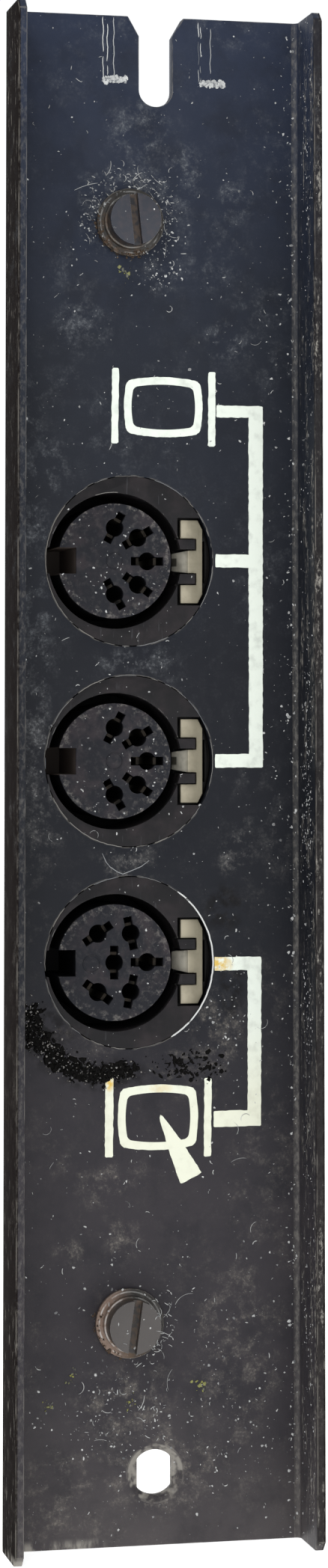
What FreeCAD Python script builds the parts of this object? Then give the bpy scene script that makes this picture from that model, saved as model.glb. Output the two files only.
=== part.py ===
import FreeCAD, Part
import math
import os

# A rack module: a channel-shaped front panel that carries three round multi-pin sockets in a
# column, with the printed board, angle brackets and rear plug that stand behind it.
# Lengths are in millimetres. X runs across the panel, +Y runs into the rack and +Z is up.
# The origin is the centre of the panel's back face, the face that lies on the rack's rails.

# Channel panel
panel_height = 160.0
panel_width = 32.4
web = 1.5
flange_height = 7.0
flange_thickness = 0.9
outer_bend = 1.2
inner_bend = 0.5
flange_chamfer = 1.0

# Fixing slot at the top end and fixing hole at the bottom end
fixing_x = -0.2
slot_width = 3.6
slot_edge = 7.8
slot_mouth_width = 1.2
slot_mouth_height = 2.1
hole_edge = 7.35
hole_diameter = 4.7
hole_flats = 3.7
countersink_diameter = 6.0
countersink_depth = 0.5

# Sockets: the column of panel holes, and what is set out from each hole
column_x = -3.0
column_z = 1.1
socket_pitch = 21.0
boss_diameter = 12.1
boss_recess = 0.2
groove_width = 1.1
groove_depth = 9.5
collar_thin_side = 0.2
collar_clip_side = 3.3
collar_clearance = 0.1
insert_base = 3.0
insert_clearance = 0.05
key_width = 2.75
key_into_boss = 1.95
key_into_wall = 0.3

# Socket body behind the panel
body_gap = 0.1
body_spacing = 1.6
body_beyond_collar = 0.5
body_wall = 1.2
body_side_room = 6.0
body_front_wall = 1.4
tail_room = 2.5
cover_room = 0.4
cover_thickness = 1.2
cover_clearance = 0.05
peg_diameter = 2.0
peg_inset = 2.7
peg_y = 4.5

# Contacts
pin_radius = 3.5
pin_hole = 1.9
contact_slot_length = 3.5
contact_slot_width = 0.9
tine_thickness = 0.3
tine_gap = 1.56
tine_clearance = 0.075
tine_recess = 0.9
contact_floor = 0.2
contact_heel = 0.8
tail_size = 0.6
tail_clearance = 0.12
tail_row_start = 1.0
tail_row_pitch = 0.95
tail_stands_out = 0.7

# Where the contacts stand about the socket's axis, and how each one's slot is turned:
# (radius as a share of the pin circle's, angle from +X, angle of the slot), in degrees
FIVE_PIN = [(1, 90, 62), (1, 45, 31), (1, 0, 0), (1, -45, -35), (1, -90, -60)]
SIX_PIN = [(1, 120, 34), (1, 60, -78), (1, 0, 0), (1, -60, 78), (1, -120, -36), (0, 0, 90)]
SOCKETS = {"upper": (1, FIVE_PIN), "middle": (0, FIVE_PIN), "lower": (-1, SIX_PIN)}

# Earth clip
clip_height = 8.8
clip_thickness = 0.5
clip_recess = 0.4
clip_inset = 0.95
clip_bar = 0.65
clip_arm_reach = 2.35
clip_arm_height = 1.95
clip_corner_width = 0.5
clip_corner_height = 1.0
tongue_height = 2.4
tongue_tip_height = 1.8
tongue_flat = 1.3
tongue_stand_off = 0.6
tongue_drop = 2.3
leaf_height = 4.0
leaf_seat = 1.0
leaf_heel = 0.4
clip_room = 0.45
clip_side_room = 0.23
pocket_depth = 1.3
strap_height = 1.6
strap_gap = 0.2

# Printed board
board_thickness = 1.6
board_inset = 1.0
board_front = 0.6
board_depth = 56.5
board_beyond_bracket = 1.5
hole_clearance = 0.05

# Angle brackets and the screws that hold them to the panel
screw_edge = 22.5
screw_middle_z = 0.4
bracket_width = 12.0
bracket_thickness = 1.2
bracket_beyond_screw = 5.4
bracket_board_leg = 15.0
bracket_inner_bend = 0.4
bracket_rivet_inset = 5.0
bracket_rivet_side = 2.8
screw_diameter = 3.0
screw_hole = 3.4
screw_length = 8.0
head_diameter = 5.4
head_height = 2.0
head_slot_width = 0.9
head_slot_depth = 0.9
head_slot_turn = {1: 6.0, -1: -7.5}
plain_washer_diameter = 7.2
plain_washer_thickness = 0.5
washer_bore = 3.2
spring_washer_diameter = 5.8
spring_washer_thickness = 0.8
spring_washer_split = 0.6
nut_across_flats = 5.5
nut_height = 2.4
thread_clearance = 0.02

# Rivets
rivet_diameter = 2.4
rivet_head_diameter = 4.4
rivet_head_height = 0.7
rivet_tube_bore = 1.2

# Rear plug
plug_depth = 10.0
plug_overhang = 1.8
plug_ear = 8.0
plug_ear_thickness = 2.5
blade_count = 13
blade_pitch = 3.6
blade_rows = 2
blade_row_pitch = 3.8
blade_first_row = 3.0
blade_last_row = 2.2
blade_end = 3.4
blade_width = 1.8
blade_thickness = 0.8
blade_length = 7.0
blade_tail_start = 1.2
blade_tail_pitch = 2.2

front_y = -web
groove_diameter = boss_diameter + 2 * groove_width
collar_diameter = collar_thin_side + groove_diameter + collar_clip_side
axis_x = column_x - collar_diameter / 2 + collar_thin_side + groove_diameter / 2
groove_floor = front_y + groove_depth
insert_back = groove_floor + insert_base
body_height = socket_pitch - body_spacing
collar_left = column_x - collar_diameter / 2
collar_right = column_x + collar_diameter / 2
body_left = collar_left - body_beyond_collar
peg_spacing = body_height - 2 * peg_inset
tail_room_height = 2 * (pin_radius + tail_room)
tail_bore = math.sqrt(2) * tail_size + 2 * tail_clearance
board_back = panel_width / 2 - board_inset
board_face = board_back - board_thickness
clip_face = front_y + clip_recess
clip_edge_x = collar_right - clip_inset
leaf_left = clip_edge_x - clip_thickness
finger_tip_x = clip_edge_x - clip_bar - clip_side_room
pivot_y = insert_back - leaf_seat
strap_row = insert_back + tail_row_start
screw_pitch = panel_height - 2 * screw_edge
screw_front = front_y - plain_washer_thickness - spring_washer_thickness
board_reach = screw_pitch / 2 + bracket_width / 2 + board_beyond_bracket
rivet_bore = rivet_diameter + 2 * hole_clearance
plug_width = blade_first_row + (blade_rows - 1) * blade_row_pitch + blade_last_row
plug_length = (blade_count - 1) * blade_pitch + 2 * (blade_end + plug_ear)
plug_front = board_front + board_depth + plug_overhang - plug_depth
plug_back = plug_front + plug_depth


def box(x0, x1, y0, y1, z0, z1):
    """A box between two corners."""
    return Part.makeBox(x1 - x0, y1 - y0, z1 - z0, FreeCAD.Vector(x0, y0, z0))


def rod_y(diameter, x, z, y0, y1):
    """A round bar along Y."""
    start = FreeCAD.Vector(x, y0, z)
    return Part.makeCylinder(diameter / 2, y1 - y0, start, FreeCAD.Vector(0, 1, 0))


def rod_x(diameter, y, z, x0, x1):
    """A round bar along X."""
    start = FreeCAD.Vector(x0, y, z)
    return Part.makeCylinder(diameter / 2, x1 - x0, start, FreeCAD.Vector(1, 0, 0))


def prism(corners, run):
    """A straight-sided solid: the polygon of corners pushed along run."""
    points = [FreeCAD.Vector(*corner) for corner in corners]
    outline = Part.makePolygon(points + points[:1])
    return Part.Face(outline).extrude(FreeCAD.Vector(*run))


def turned_y(shape, x, z, degrees):
    """The shape turned about the line along Y through (x, z), from +X towards +Z."""
    turned = shape.copy()
    turned.rotate(FreeCAD.Vector(x, 0, z), FreeCAD.Vector(0, -1, 0), degrees)
    return turned


def vertical_edges(shape, x, y):
    """The edges that run along Z at (x, y)."""
    def is_there(edge):
        ends = [vertex.Point for vertex in edge.Vertexes]
        return all(abs(p.x - x) < 1e-6 and abs(p.y - y) < 1e-6 for p in ends)
    return [edge for edge in shape.Edges if is_there(edge)]


def socket_z(place):
    """Height of a socket's axis: place counts pitches up from the middle socket."""
    return column_z + place * socket_pitch


def screw_z(side):
    """Height of the panel screw on the upper (1) or lower (-1) side."""
    return screw_middle_z + side * screw_pitch / 2


def contact_places(place, contacts):
    """Each contact's x, z and slot angle, the nearest to the board first."""
    spots = []
    for share, angle, turn in contacts:
        x = axis_x + share * pin_radius * math.cos(math.radians(angle))
        z = socket_z(place) + share * pin_radius * math.sin(math.radians(angle))
        spots.append((x, z, turn))
    return sorted(spots, reverse=True)


def tail_rows(place, contacts):
    """How far back each contact's tail turns towards the board: further from it, further back."""
    columns = sorted({round(x, 3) for x, z, turn in contact_places(place, contacts)}, reverse=True)
    return {x: strap_row + (row + 1) * tail_row_pitch for row, x in enumerate(columns)}


def body_back():
    """The back of the socket bodies: room for the last contact's tail, then the cover."""
    last = max(max(tail_rows(place, contacts).values()) for place, contacts in SOCKETS.values())
    return last + tail_size / 2 + cover_room + cover_thickness


def blade_places():
    """Each rear blade's x, z and the y at which its tail meets the board."""
    places = []
    for row in range(blade_rows):
        x = board_face - blade_first_row - row * blade_row_pitch
        y = plug_front - blade_tail_start - row * blade_tail_pitch
        for step in range(blade_count):
            z = screw_middle_z + (step - (blade_count - 1) / 2) * blade_pitch
            places.append((x, z, y))
    return places


def rivet_stack(y, z, near_face):
    """A tubular rivet that clamps the board to a piece whose inner face is at near_face."""
    low = near_face - rivet_head_height
    high = board_back + rivet_head_height
    rivet = rod_x(rivet_diameter, y, z, low, high)
    for start in (low, board_back):
        rivet = rivet.fuse(rod_x(rivet_head_diameter, y, z, start, start + rivet_head_height))
    return rivet.cut(rod_x(rivet_tube_bore, y, z, low, high))


def bracket_rivet_places():
    """The y and z of each rivet through the brackets and the board."""
    y = bracket_board_leg - bracket_rivet_inset
    reach = bracket_width / 2 - bracket_rivet_side
    return [(y, screw_z(side) + end * reach) for side in (1, -1) for end in (1, -1)]


def plug_rivet_places():
    """The y and z of each rivet through the rear plug's ears and the board."""
    reach = (plug_length - plug_ear) / 2
    y = (plug_front + plug_back) / 2
    return [(y, screw_middle_z + end * reach) for end in (1, -1)]


def fixing_slot():
    """The open slot at the panel's top end, with its widened mouth."""
    top = panel_height / 2
    centre = top - slot_edge
    half = slot_width / 2
    slot = rod_y(slot_width, fixing_x, centre, front_y, 0)
    slot = slot.fuse(box(fixing_x - half, fixing_x + half, front_y, 0, centre, top))
    wide = half + slot_mouth_width
    low = top - slot_mouth_height
    mouth = prism([(fixing_x - half, front_y, low), (fixing_x + half, front_y, low),
                   (fixing_x + wide, front_y, top), (fixing_x - wide, front_y, top)], (0, web, 0))
    return slot.fuse(mouth)


def fixing_hole():
    """The flat-sided hole at the panel's bottom end, with its countersink."""
    z = hole_edge - panel_height / 2
    hole = rod_y(hole_diameter, fixing_x, z, front_y, 0)
    sides = box(fixing_x - hole_flats / 2, fixing_x + hole_flats / 2, front_y, 0,
                z - hole_diameter / 2, z + hole_diameter / 2)
    sink = Part.makeCone(countersink_diameter / 2, hole_diameter / 2, countersink_depth,
                         FreeCAD.Vector(fixing_x, front_y, z), FreeCAD.Vector(0, 1, 0))
    return hole.common(sides).fuse(sink)


def channel_panel():
    """The channel: a flat web with a flange along each side, open towards the front."""
    half = panel_width / 2
    inner = half - flange_thickness
    bottom = -panel_height / 2
    tip = front_y - flange_height
    shape = box(-half, half, tip, 0, bottom, -bottom)
    shape = shape.cut(box(-inner, inner, tip, front_y, bottom, -bottom))
    for side in (1, -1):
        shape = shape.makeFillet(outer_bend, vertical_edges(shape, side * half, 0))
        shape = shape.makeFillet(inner_bend, vertical_edges(shape, side * inner, front_y))
    for end in (1, -1):
        corner = prism([(-half, tip, end * -bottom), (-half, tip + flange_chamfer, end * -bottom),
                        (-half, tip, end * (-bottom - flange_chamfer))], (panel_width, 0, 0))
        shape = shape.cut(corner)
        shape = shape.cut(rod_y(screw_hole, column_x, screw_z(end), front_y, 0))
    for place, contacts in SOCKETS.values():
        opening = collar_diameter + 2 * collar_clearance
        shape = shape.cut(rod_y(opening, column_x, socket_z(place), front_y, 0))
    return shape.cut(fixing_slot()).cut(fixing_hole())


def clip_room_cuts(z):
    """What is taken out of a socket's collar and body so that its earth clip can move."""
    half = clip_height / 2 + clip_side_room
    arm_left = clip_edge_x - clip_arm_reach - clip_room
    floor = front_y + pocket_depth
    pocket = box(arm_left, collar_right, front_y, floor, z - half, z + half)
    arm_inner = clip_height / 2 - clip_arm_height - clip_side_room / 2
    tongue_side = tongue_height / 2 + clip_side_room / 2
    for low, high in ((tongue_side, arm_inner), (-arm_inner, -tongue_side)):
        pocket = pocket.cut(box(arm_left, finger_tip_x, front_y, floor, z + low, z + high))
    tongue_floor = clip_face + tongue_drop + 2 * clip_thickness
    channel = box(axis_x, leaf_left, front_y, tongue_floor, z - tongue_side, z + tongue_side)
    leaf_side = leaf_height / 2 + clip_side_room
    leaf = box(leaf_left - clip_side_room, clip_edge_x + clip_room, front_y, insert_back,
               z - leaf_side, z + leaf_side)
    return pocket.fuse(channel).fuse(leaf)


def key_cut(z, start_x, end_x):
    """The keyway for a plug's locating key, across from the earth clip."""
    return box(start_x, end_x, front_y, groove_floor, z - key_width / 2, z + key_width / 2)


def socket_housing(place):
    """A socket's moulded body: round collar in the panel hole, block on the board behind it."""
    z = socket_z(place)
    half = body_height / 2
    body = box(body_left, board_face, body_gap, body_back(), z - half, z + half)
    body = body.fuse(rod_y(collar_diameter, column_x, z, front_y, body_gap))
    body = body.cut(rod_y(groove_diameter, axis_x, z, front_y, insert_back))
    wall_x = axis_x - groove_diameter / 2
    body = body.cut(key_cut(z, wall_x - key_into_wall, axis_x))
    body = body.cut(clip_room_cuts(z))
    room = tail_room_height / 2
    body = body.cut(box(body_left + body_wall, board_face, insert_back, body_back(),
                        z - room, z + room))
    body = body.cut(box(board_face - body_side_room, board_face, body_gap + body_front_wall,
                        insert_back, z - room, z + room))
    for end in (1, -1):
        peg_z = z + end * peg_spacing / 2
        body = body.fuse(rod_x(peg_diameter, peg_y, peg_z, board_face, board_back))
    return body.removeSplitter()


def socket_cover(place):
    """The plate that closes the back of a socket's body."""
    z = socket_z(place)
    half = tail_room_height / 2 - cover_clearance
    left = body_left + body_wall + cover_clearance
    return box(left, board_face, body_back() - cover_thickness, body_back(), z - half, z + half)


def contact_slot(x, z, turn):
    """A pin hole crossed by the slot that its fork contact lies in."""
    half_length = contact_slot_length / 2
    half_width = contact_slot_width / 2
    slot = box(x - half_length, x + half_length, front_y, groove_floor,
               z - half_width, z + half_width)
    hole = rod_y(pin_hole, x, z, front_y, groove_floor)
    return turned_y(slot, x, z, turn).fuse(hole)


def socket_insert(place, contacts):
    """The round boss that a plug's shell slides over, on the base that closes the groove."""
    z = socket_z(place)
    base = groove_diameter - 2 * insert_clearance
    insert = rod_y(boss_diameter, axis_x, z, front_y + boss_recess, insert_back)
    insert = insert.fuse(rod_y(base, axis_x, z, groove_floor, insert_back))
    boss_edge = axis_x - boss_diameter / 2
    insert = insert.cut(key_cut(z, boss_edge - key_into_boss, boss_edge + key_into_boss))
    for x, contact_z, turn in contact_places(place, contacts):
        insert = insert.cut(contact_slot(x, contact_z, turn))
        insert = insert.cut(rod_y(tail_bore, x, contact_z, groove_floor, insert_back))
    return insert.removeSplitter()


def tail(x, z, start_y, row_y, height):
    """A tail that runs back to row_y and then turns through the board."""
    half = tail_size / 2
    back = box(x - half, x + half, start_y, row_y + half, z - height / 2, z + height / 2)
    out = box(x - half, board_back + tail_stands_out, row_y - half, row_y + half,
              z - half, z + half)
    return back.fuse(out)


def fork_contact(x, z, turn, row_y):
    """A contact: two tines that grip a plug's pin, their heel, and the tail to the board."""
    inner = tine_gap / 2
    outer = inner + tine_thickness
    half = contact_slot_width / 2 - tine_clearance
    heel_back = groove_floor - contact_floor
    heel_front = heel_back - contact_heel
    fork = box(x - outer, x + outer, heel_front, heel_back, z - half, z + half)
    for low in (inner, -outer):
        fork = fork.fuse(box(x + low, x + low + tine_thickness, front_y + tine_recess, heel_back,
                             z - half, z + half))
    fork = turned_y(fork, x, z, turn)
    return fork.fuse(tail(x, z, heel_front, row_y, tail_size)).removeSplitter()


def earth_strap(z):
    """The fixed strap that carries the earth clip's foot round to the board."""
    x = clip_edge_x - clip_thickness / 2
    return tail(x, z, pivot_y + leaf_heel + strap_gap, strap_row, strap_height).removeSplitter()


def socket_contacts(place, contacts):
    """All of a socket's contacts and its earth strap, as separate solids."""
    rows = tail_rows(place, contacts)
    pieces = [fork_contact(x, z, turn, rows[round(x, 3)])
              for x, z, turn in contact_places(place, contacts)]
    return Part.makeCompound(pieces + [earth_strap(socket_z(place))])


def clip_tongue(z):
    """The clip's middle arm: flat, then bent back so that its tip meets a plug's shell."""
    tip_x = axis_x + boss_diameter / 2 + tongue_stand_off
    bend_x = tip_x + tongue_flat
    back = clip_face + clip_thickness
    half = tongue_height / 2
    strip = prism([(clip_edge_x, clip_face, z - half), (bend_x, clip_face, z - half),
                   (tip_x, clip_face + tongue_drop, z - half),
                   (tip_x + clip_thickness, clip_face + tongue_drop, z - half),
                   (bend_x + clip_thickness / 2, back, z - half), (clip_edge_x, back, z - half)],
                  (0, 0, tongue_height))
    tip_half = tongue_tip_height / 2
    taper = prism([(clip_edge_x, clip_face, z - half), (bend_x, clip_face, z - half),
                   (tip_x, clip_face, z - tip_half), (tip_x, clip_face, z + tip_half),
                   (bend_x, clip_face, z + half), (clip_edge_x, clip_face, z + half)],
                  (0, tongue_drop, 0))
    return strip.common(taper)


def earth_clip(place):
    """The sprung clip that earths a plug's shell: bar with three arms, on a leaf at its side."""
    z = socket_z(place)
    half = clip_height / 2
    back = clip_face + clip_thickness
    clip = box(clip_edge_x - clip_bar, clip_edge_x, clip_face, back, z - half, z + half)
    for low in (half - clip_arm_height, -half):
        clip = clip.fuse(box(clip_edge_x - clip_arm_reach, clip_edge_x, clip_face, back,
                             z + low, z + low + clip_arm_height))
    for end in (1, -1):
        corner_z = z + end * half
        corner = prism([(clip_edge_x, clip_face, corner_z),
                        (clip_edge_x - clip_corner_width, clip_face, corner_z),
                        (clip_edge_x, clip_face, corner_z - end * clip_corner_height)],
                       (0, clip_thickness, 0))
        clip = clip.cut(corner)
    leaf = box(leaf_left, clip_edge_x, clip_face, pivot_y + leaf_heel,
               z - leaf_height / 2, z + leaf_height / 2)
    return clip.fuse(leaf).fuse(clip_tongue(z)).removeSplitter()


def circuit_board():
    """The board that stands behind the panel on its right side."""
    board = box(board_face, board_back, board_front, board_front + board_depth,
                screw_middle_z - board_reach, screw_middle_z + board_reach)
    holes = [(bore_y, bore_z, rivet_bore)
             for bore_y, bore_z in bracket_rivet_places() + plug_rivet_places()]
    holes += [(bore_y, bore_z, tail_bore) for bore_x, bore_z, bore_y in blade_places()]
    for place, contacts in SOCKETS.values():
        z = socket_z(place)
        rows = tail_rows(place, contacts)
        holes += [(rows[round(bore_x, 3)], bore_z, tail_bore)
                  for bore_x, bore_z, turn in contact_places(place, contacts)]
        holes.append((strap_row, z, tail_bore))
        holes += [(peg_y, z + end * peg_spacing / 2, peg_diameter + 2 * hole_clearance)
                  for end in (1, -1)]
    for y, z, diameter in holes:
        board = board.cut(rod_x(diameter, y, z, board_face, board_back))
    return board


def bracket(side):
    """An angle bracket: one leg on the panel's back face, the other on the board."""
    z = screw_z(side)
    low = z - bracket_width / 2
    high = z + bracket_width / 2
    inner = board_face - bracket_thickness
    shape = box(column_x - bracket_beyond_screw, board_face, 0, bracket_thickness, low, high)
    shape = shape.fuse(box(inner, board_face, 0, bracket_board_leg, low, high)).removeSplitter()
    outer_bend_radius = bracket_inner_bend + bracket_thickness
    shape = shape.makeFillet(outer_bend_radius, vertical_edges(shape, board_face, 0))
    shape = shape.makeFillet(bracket_inner_bend, vertical_edges(shape, inner, bracket_thickness))
    shape = shape.cut(rod_y(screw_hole, column_x, z, 0, bracket_thickness))
    for rivet_y, rivet_z in bracket_rivet_places():
        shape = shape.cut(rod_x(rivet_bore, rivet_y, rivet_z, inner, board_face))
    return shape


def panel_screw(side):
    """A slotted cheese-head screw, its head in front of its two washers."""
    z = screw_z(side)
    top = screw_front - head_height
    screw = rod_y(head_diameter, column_x, z, top, screw_front)
    screw = screw.fuse(rod_y(screw_diameter, column_x, z, screw_front, screw_front + screw_length))
    half = head_slot_width / 2
    reach = head_diameter / 2
    slot = box(column_x - half, column_x + half, top, top + head_slot_depth,
               z - reach, z + reach)
    return screw.cut(turned_y(slot, column_x, z, head_slot_turn[side]))


def plain_washer(side):
    """The flat washer that lies on the panel."""
    z = screw_z(side)
    start = front_y - plain_washer_thickness
    washer = rod_y(plain_washer_diameter, column_x, z, start, front_y)
    return washer.cut(rod_y(washer_bore, column_x, z, start, front_y))


def spring_washer(side):
    """The split spring washer under the screw's head, pressed flat."""
    z = screw_z(side)
    back = front_y - plain_washer_thickness
    washer = rod_y(spring_washer_diameter, column_x, z, screw_front, back)
    washer = washer.cut(rod_y(washer_bore, column_x, z, screw_front, back))
    split = box(column_x, column_x + spring_washer_diameter, screw_front, back,
                z - spring_washer_split / 2, z + spring_washer_split / 2)
    return washer.cut(split)


def panel_nut(side):
    """The hexagon nut behind a bracket."""
    z = screw_z(side)
    corner_radius = nut_across_flats / math.sqrt(3)
    corners = []
    for step in range(6):
        angle = math.radians(60 * step)
        corners.append((column_x + corner_radius * math.cos(angle), bracket_thickness,
                        z + corner_radius * math.sin(angle)))
    nut = prism(corners, (0, nut_height, 0))
    bore = screw_diameter + 2 * thread_clearance
    return nut.cut(rod_y(bore, column_x, z, bracket_thickness, bracket_thickness + nut_height))


def plug_body():
    """The rear plug's moulding, with a flat ear at each end for its rivets."""
    low = screw_middle_z - plug_length / 2
    high = screw_middle_z + plug_length / 2
    ear_face = board_face - plug_ear_thickness
    body = box(board_face - plug_width, board_face, plug_front, plug_back,
               low + plug_ear, high - plug_ear)
    ears = box(ear_face, board_face, plug_front, plug_back, low, high)
    body = body.fuse(ears).removeSplitter()
    for y, z in plug_rivet_places():
        body = body.cut(rod_x(rivet_bore, y, z, ear_face, board_face))
    for x, z, y in blade_places():
        body = body.cut(blade(x, z, y, hole_clearance))
    return body


def blade(x, z, y, growth):
    """A rear blade with its square tail, grown all round."""
    half_x = blade_thickness / 2 + growth
    half_z = blade_width / 2 + growth
    half = tail_size / 2 + growth
    shank = box(x - half_x, x + half_x, plug_front, plug_back + blade_length, z - half_z, z + half_z)
    back = box(x - half, x + half, y - half, plug_front, z - half, z + half)
    out = box(x - half, board_back + tail_stands_out, y - half, y + half, z - half, z + half)
    return shank.fuse(back).fuse(out).removeSplitter()


def all_nodes():
    """Every sub-part by the name of its node."""
    nodes = {"channel_panel": channel_panel()}
    for name, (place, contacts) in SOCKETS.items():
        nodes[name + "_socket_housing"] = socket_housing(place)
        nodes[name + "_socket_insert"] = socket_insert(place, contacts)
        nodes[name + "_socket_contacts"] = socket_contacts(place, contacts)
        nodes[name + "_socket_cover"] = socket_cover(place)
        nodes[name + "_earth_clip"] = earth_clip(place)
    nodes["circuit_board"] = circuit_board()
    nodes["upper_bracket"] = bracket(1)
    nodes["lower_bracket"] = bracket(-1)
    nodes["panel_screws"] = Part.makeCompound([panel_screw(side) for side in (1, -1)])
    nodes["plain_washers"] = Part.makeCompound([plain_washer(side) for side in (1, -1)])
    nodes["spring_washers"] = Part.makeCompound([spring_washer(side) for side in (1, -1)])
    nodes["panel_nuts"] = Part.makeCompound([panel_nut(side) for side in (1, -1)])
    bracket_face = board_face - bracket_thickness
    nodes["bracket_rivets"] = Part.makeCompound(
        [rivet_stack(y, z, bracket_face) for y, z in bracket_rivet_places()])
    ear_face = board_face - plug_ear_thickness
    nodes["plug_rivets"] = Part.makeCompound(
        [rivet_stack(y, z, ear_face) for y, z in plug_rivet_places()])
    nodes["rear_plug_body"] = plug_body()
    nodes["rear_plug_blades"] = Part.makeCompound(
        [blade(x, z, y, 0) for x, z, y in blade_places()])
    return nodes


os.makedirs("parts", exist_ok=True)
for node_name, shape in all_nodes().items():
    shape.exportStep("parts/" + node_name + ".step")
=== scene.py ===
"""Looks for a patch bay module: a narrow channel panel with three round sockets and a rear plug.

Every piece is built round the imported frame, in metres, and rides on the body it belongs to.
"""

import math
import random

import bmesh
import bpy
from bpy.props import FloatProperty, FloatVectorProperty, IntProperty, PointerProperty
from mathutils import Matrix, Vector
from mathutils.bvhtree import BVHTree


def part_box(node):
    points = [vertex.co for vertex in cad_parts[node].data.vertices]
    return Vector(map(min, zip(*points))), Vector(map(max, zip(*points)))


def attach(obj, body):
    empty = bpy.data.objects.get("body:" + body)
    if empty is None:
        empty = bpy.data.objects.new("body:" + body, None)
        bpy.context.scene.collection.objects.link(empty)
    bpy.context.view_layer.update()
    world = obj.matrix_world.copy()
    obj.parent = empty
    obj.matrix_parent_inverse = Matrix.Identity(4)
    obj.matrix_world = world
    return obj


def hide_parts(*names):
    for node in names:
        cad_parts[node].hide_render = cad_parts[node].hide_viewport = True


bl_info = {
    "name": "Patch bay module",
    "version": (1, 0, 0),
    "blender": (4, 5, 0),
    "location": "View3D > Sidebar > Patch bay",
    "description": "Finishes, printed symbols, wear and stage for a patch bay module",
    "category": "Add Mesh",
}

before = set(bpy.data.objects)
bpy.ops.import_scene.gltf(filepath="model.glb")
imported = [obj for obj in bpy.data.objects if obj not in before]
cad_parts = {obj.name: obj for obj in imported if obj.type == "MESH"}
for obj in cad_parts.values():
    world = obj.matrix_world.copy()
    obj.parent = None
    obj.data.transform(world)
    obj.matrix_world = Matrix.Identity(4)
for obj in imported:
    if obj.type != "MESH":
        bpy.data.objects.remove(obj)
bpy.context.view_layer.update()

MM = 0.001
MODULE = "module"
SOCKETS = ("upper", "middle", "lower")
FLAT_ANGLE = math.radians(1.0)
SHARP_ANGLE = math.radians(32.0)
WELD = 0.000002
EDGE_MARK = "edge_wear"


def box_mm(node):
    """A node's lowest and highest corners, in millimetres."""
    low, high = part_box(node)
    return low / MM, high / MM


def middle_of(node, axis):
    """The middle of a node along one axis, in millimetres."""
    low, high = box_mm(node)
    return (low[axis] + high[axis]) / 2


PANEL_LOW, PANEL_HIGH = box_mm("channel_panel")
FACE_Y = box_mm("upper_socket_housing")[0].y
INSERT_Y = box_mm("upper_socket_insert")[0].y
BOARD_FACE = box_mm("circuit_board")[1].x
TAIL_END = box_mm("upper_socket_contacts")[1].x
AXIS_X = middle_of("upper_socket_insert", 0)
COLUMN_X = middle_of("plain_washers", 0)
CLIP_EDGE = box_mm("upper_earth_clip")[1].x
SOCKET_Z = {name: middle_of(name + "_socket_insert", 2) for name in SOCKETS}
WASHER_LOW, WASHER_HIGH = box_mm("plain_washers")
WASHER_RADIUS = (WASHER_HIGH.x - WASHER_LOW.x) / 2
UPPER_SCREW_Z = WASHER_HIGH.z - WASHER_RADIUS
LOWER_SCREW_Z = WASHER_LOW.z + WASHER_RADIUS
GROOVE_RADIUS = 7.15
COLLAR_RADIUS = 8.95
FLANGE_TIP_Y = PANEL_LOW.y
FIXING_X = -0.2
FIXING_HOLE_Z = PANEL_LOW.z + 7.35
DEEPEST_DUST_Y = -0.9
FACING = 0.9  # least share of a surface's normal that points the way a fleck needs
SCRAPE_STEP = 0.25
MARK_LIFT = 0.012
FLECK_SINK = 0.01
SHAKE = 0.02
BEND_Y, PLUG_Y = 19.0, 41.0  # where the board's tracks leave their lanes and where they regroup
FLOOR_REACH = 6000.0


# Sizes and colours that a user would change

def shade(code):
    """A six-digit hex colour as linear red, green and blue."""
    levels = [int(code[i:i + 2], 16) / 255 for i in (0, 2, 4)]
    return tuple(v / 12.92 if v <= 0.04045 else ((v + 0.055) / 1.055) ** 2.4 for v in levels)


def colour(name, description, code):
    """A colour setting."""
    return FloatVectorProperty(name=name, description=description, subtype="COLOR", size=3,
                               min=0.0, max=1.0, default=shade(code))


def length(name, description, millimetres):
    """A length setting, kept in metres."""
    return FloatProperty(name=name, description=description, unit="LENGTH", min=0.0,
                         precision=6, default=millimetres * MM)


def share(name, description, default):
    """A setting from none to all."""
    return FloatProperty(name=name, description=description, subtype="FACTOR", min=0.0, max=1.0,
                         default=default)


def count(name, description, default):
    """A setting that counts pieces."""
    return IntProperty(name=name, description=description, min=0, default=default)


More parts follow.
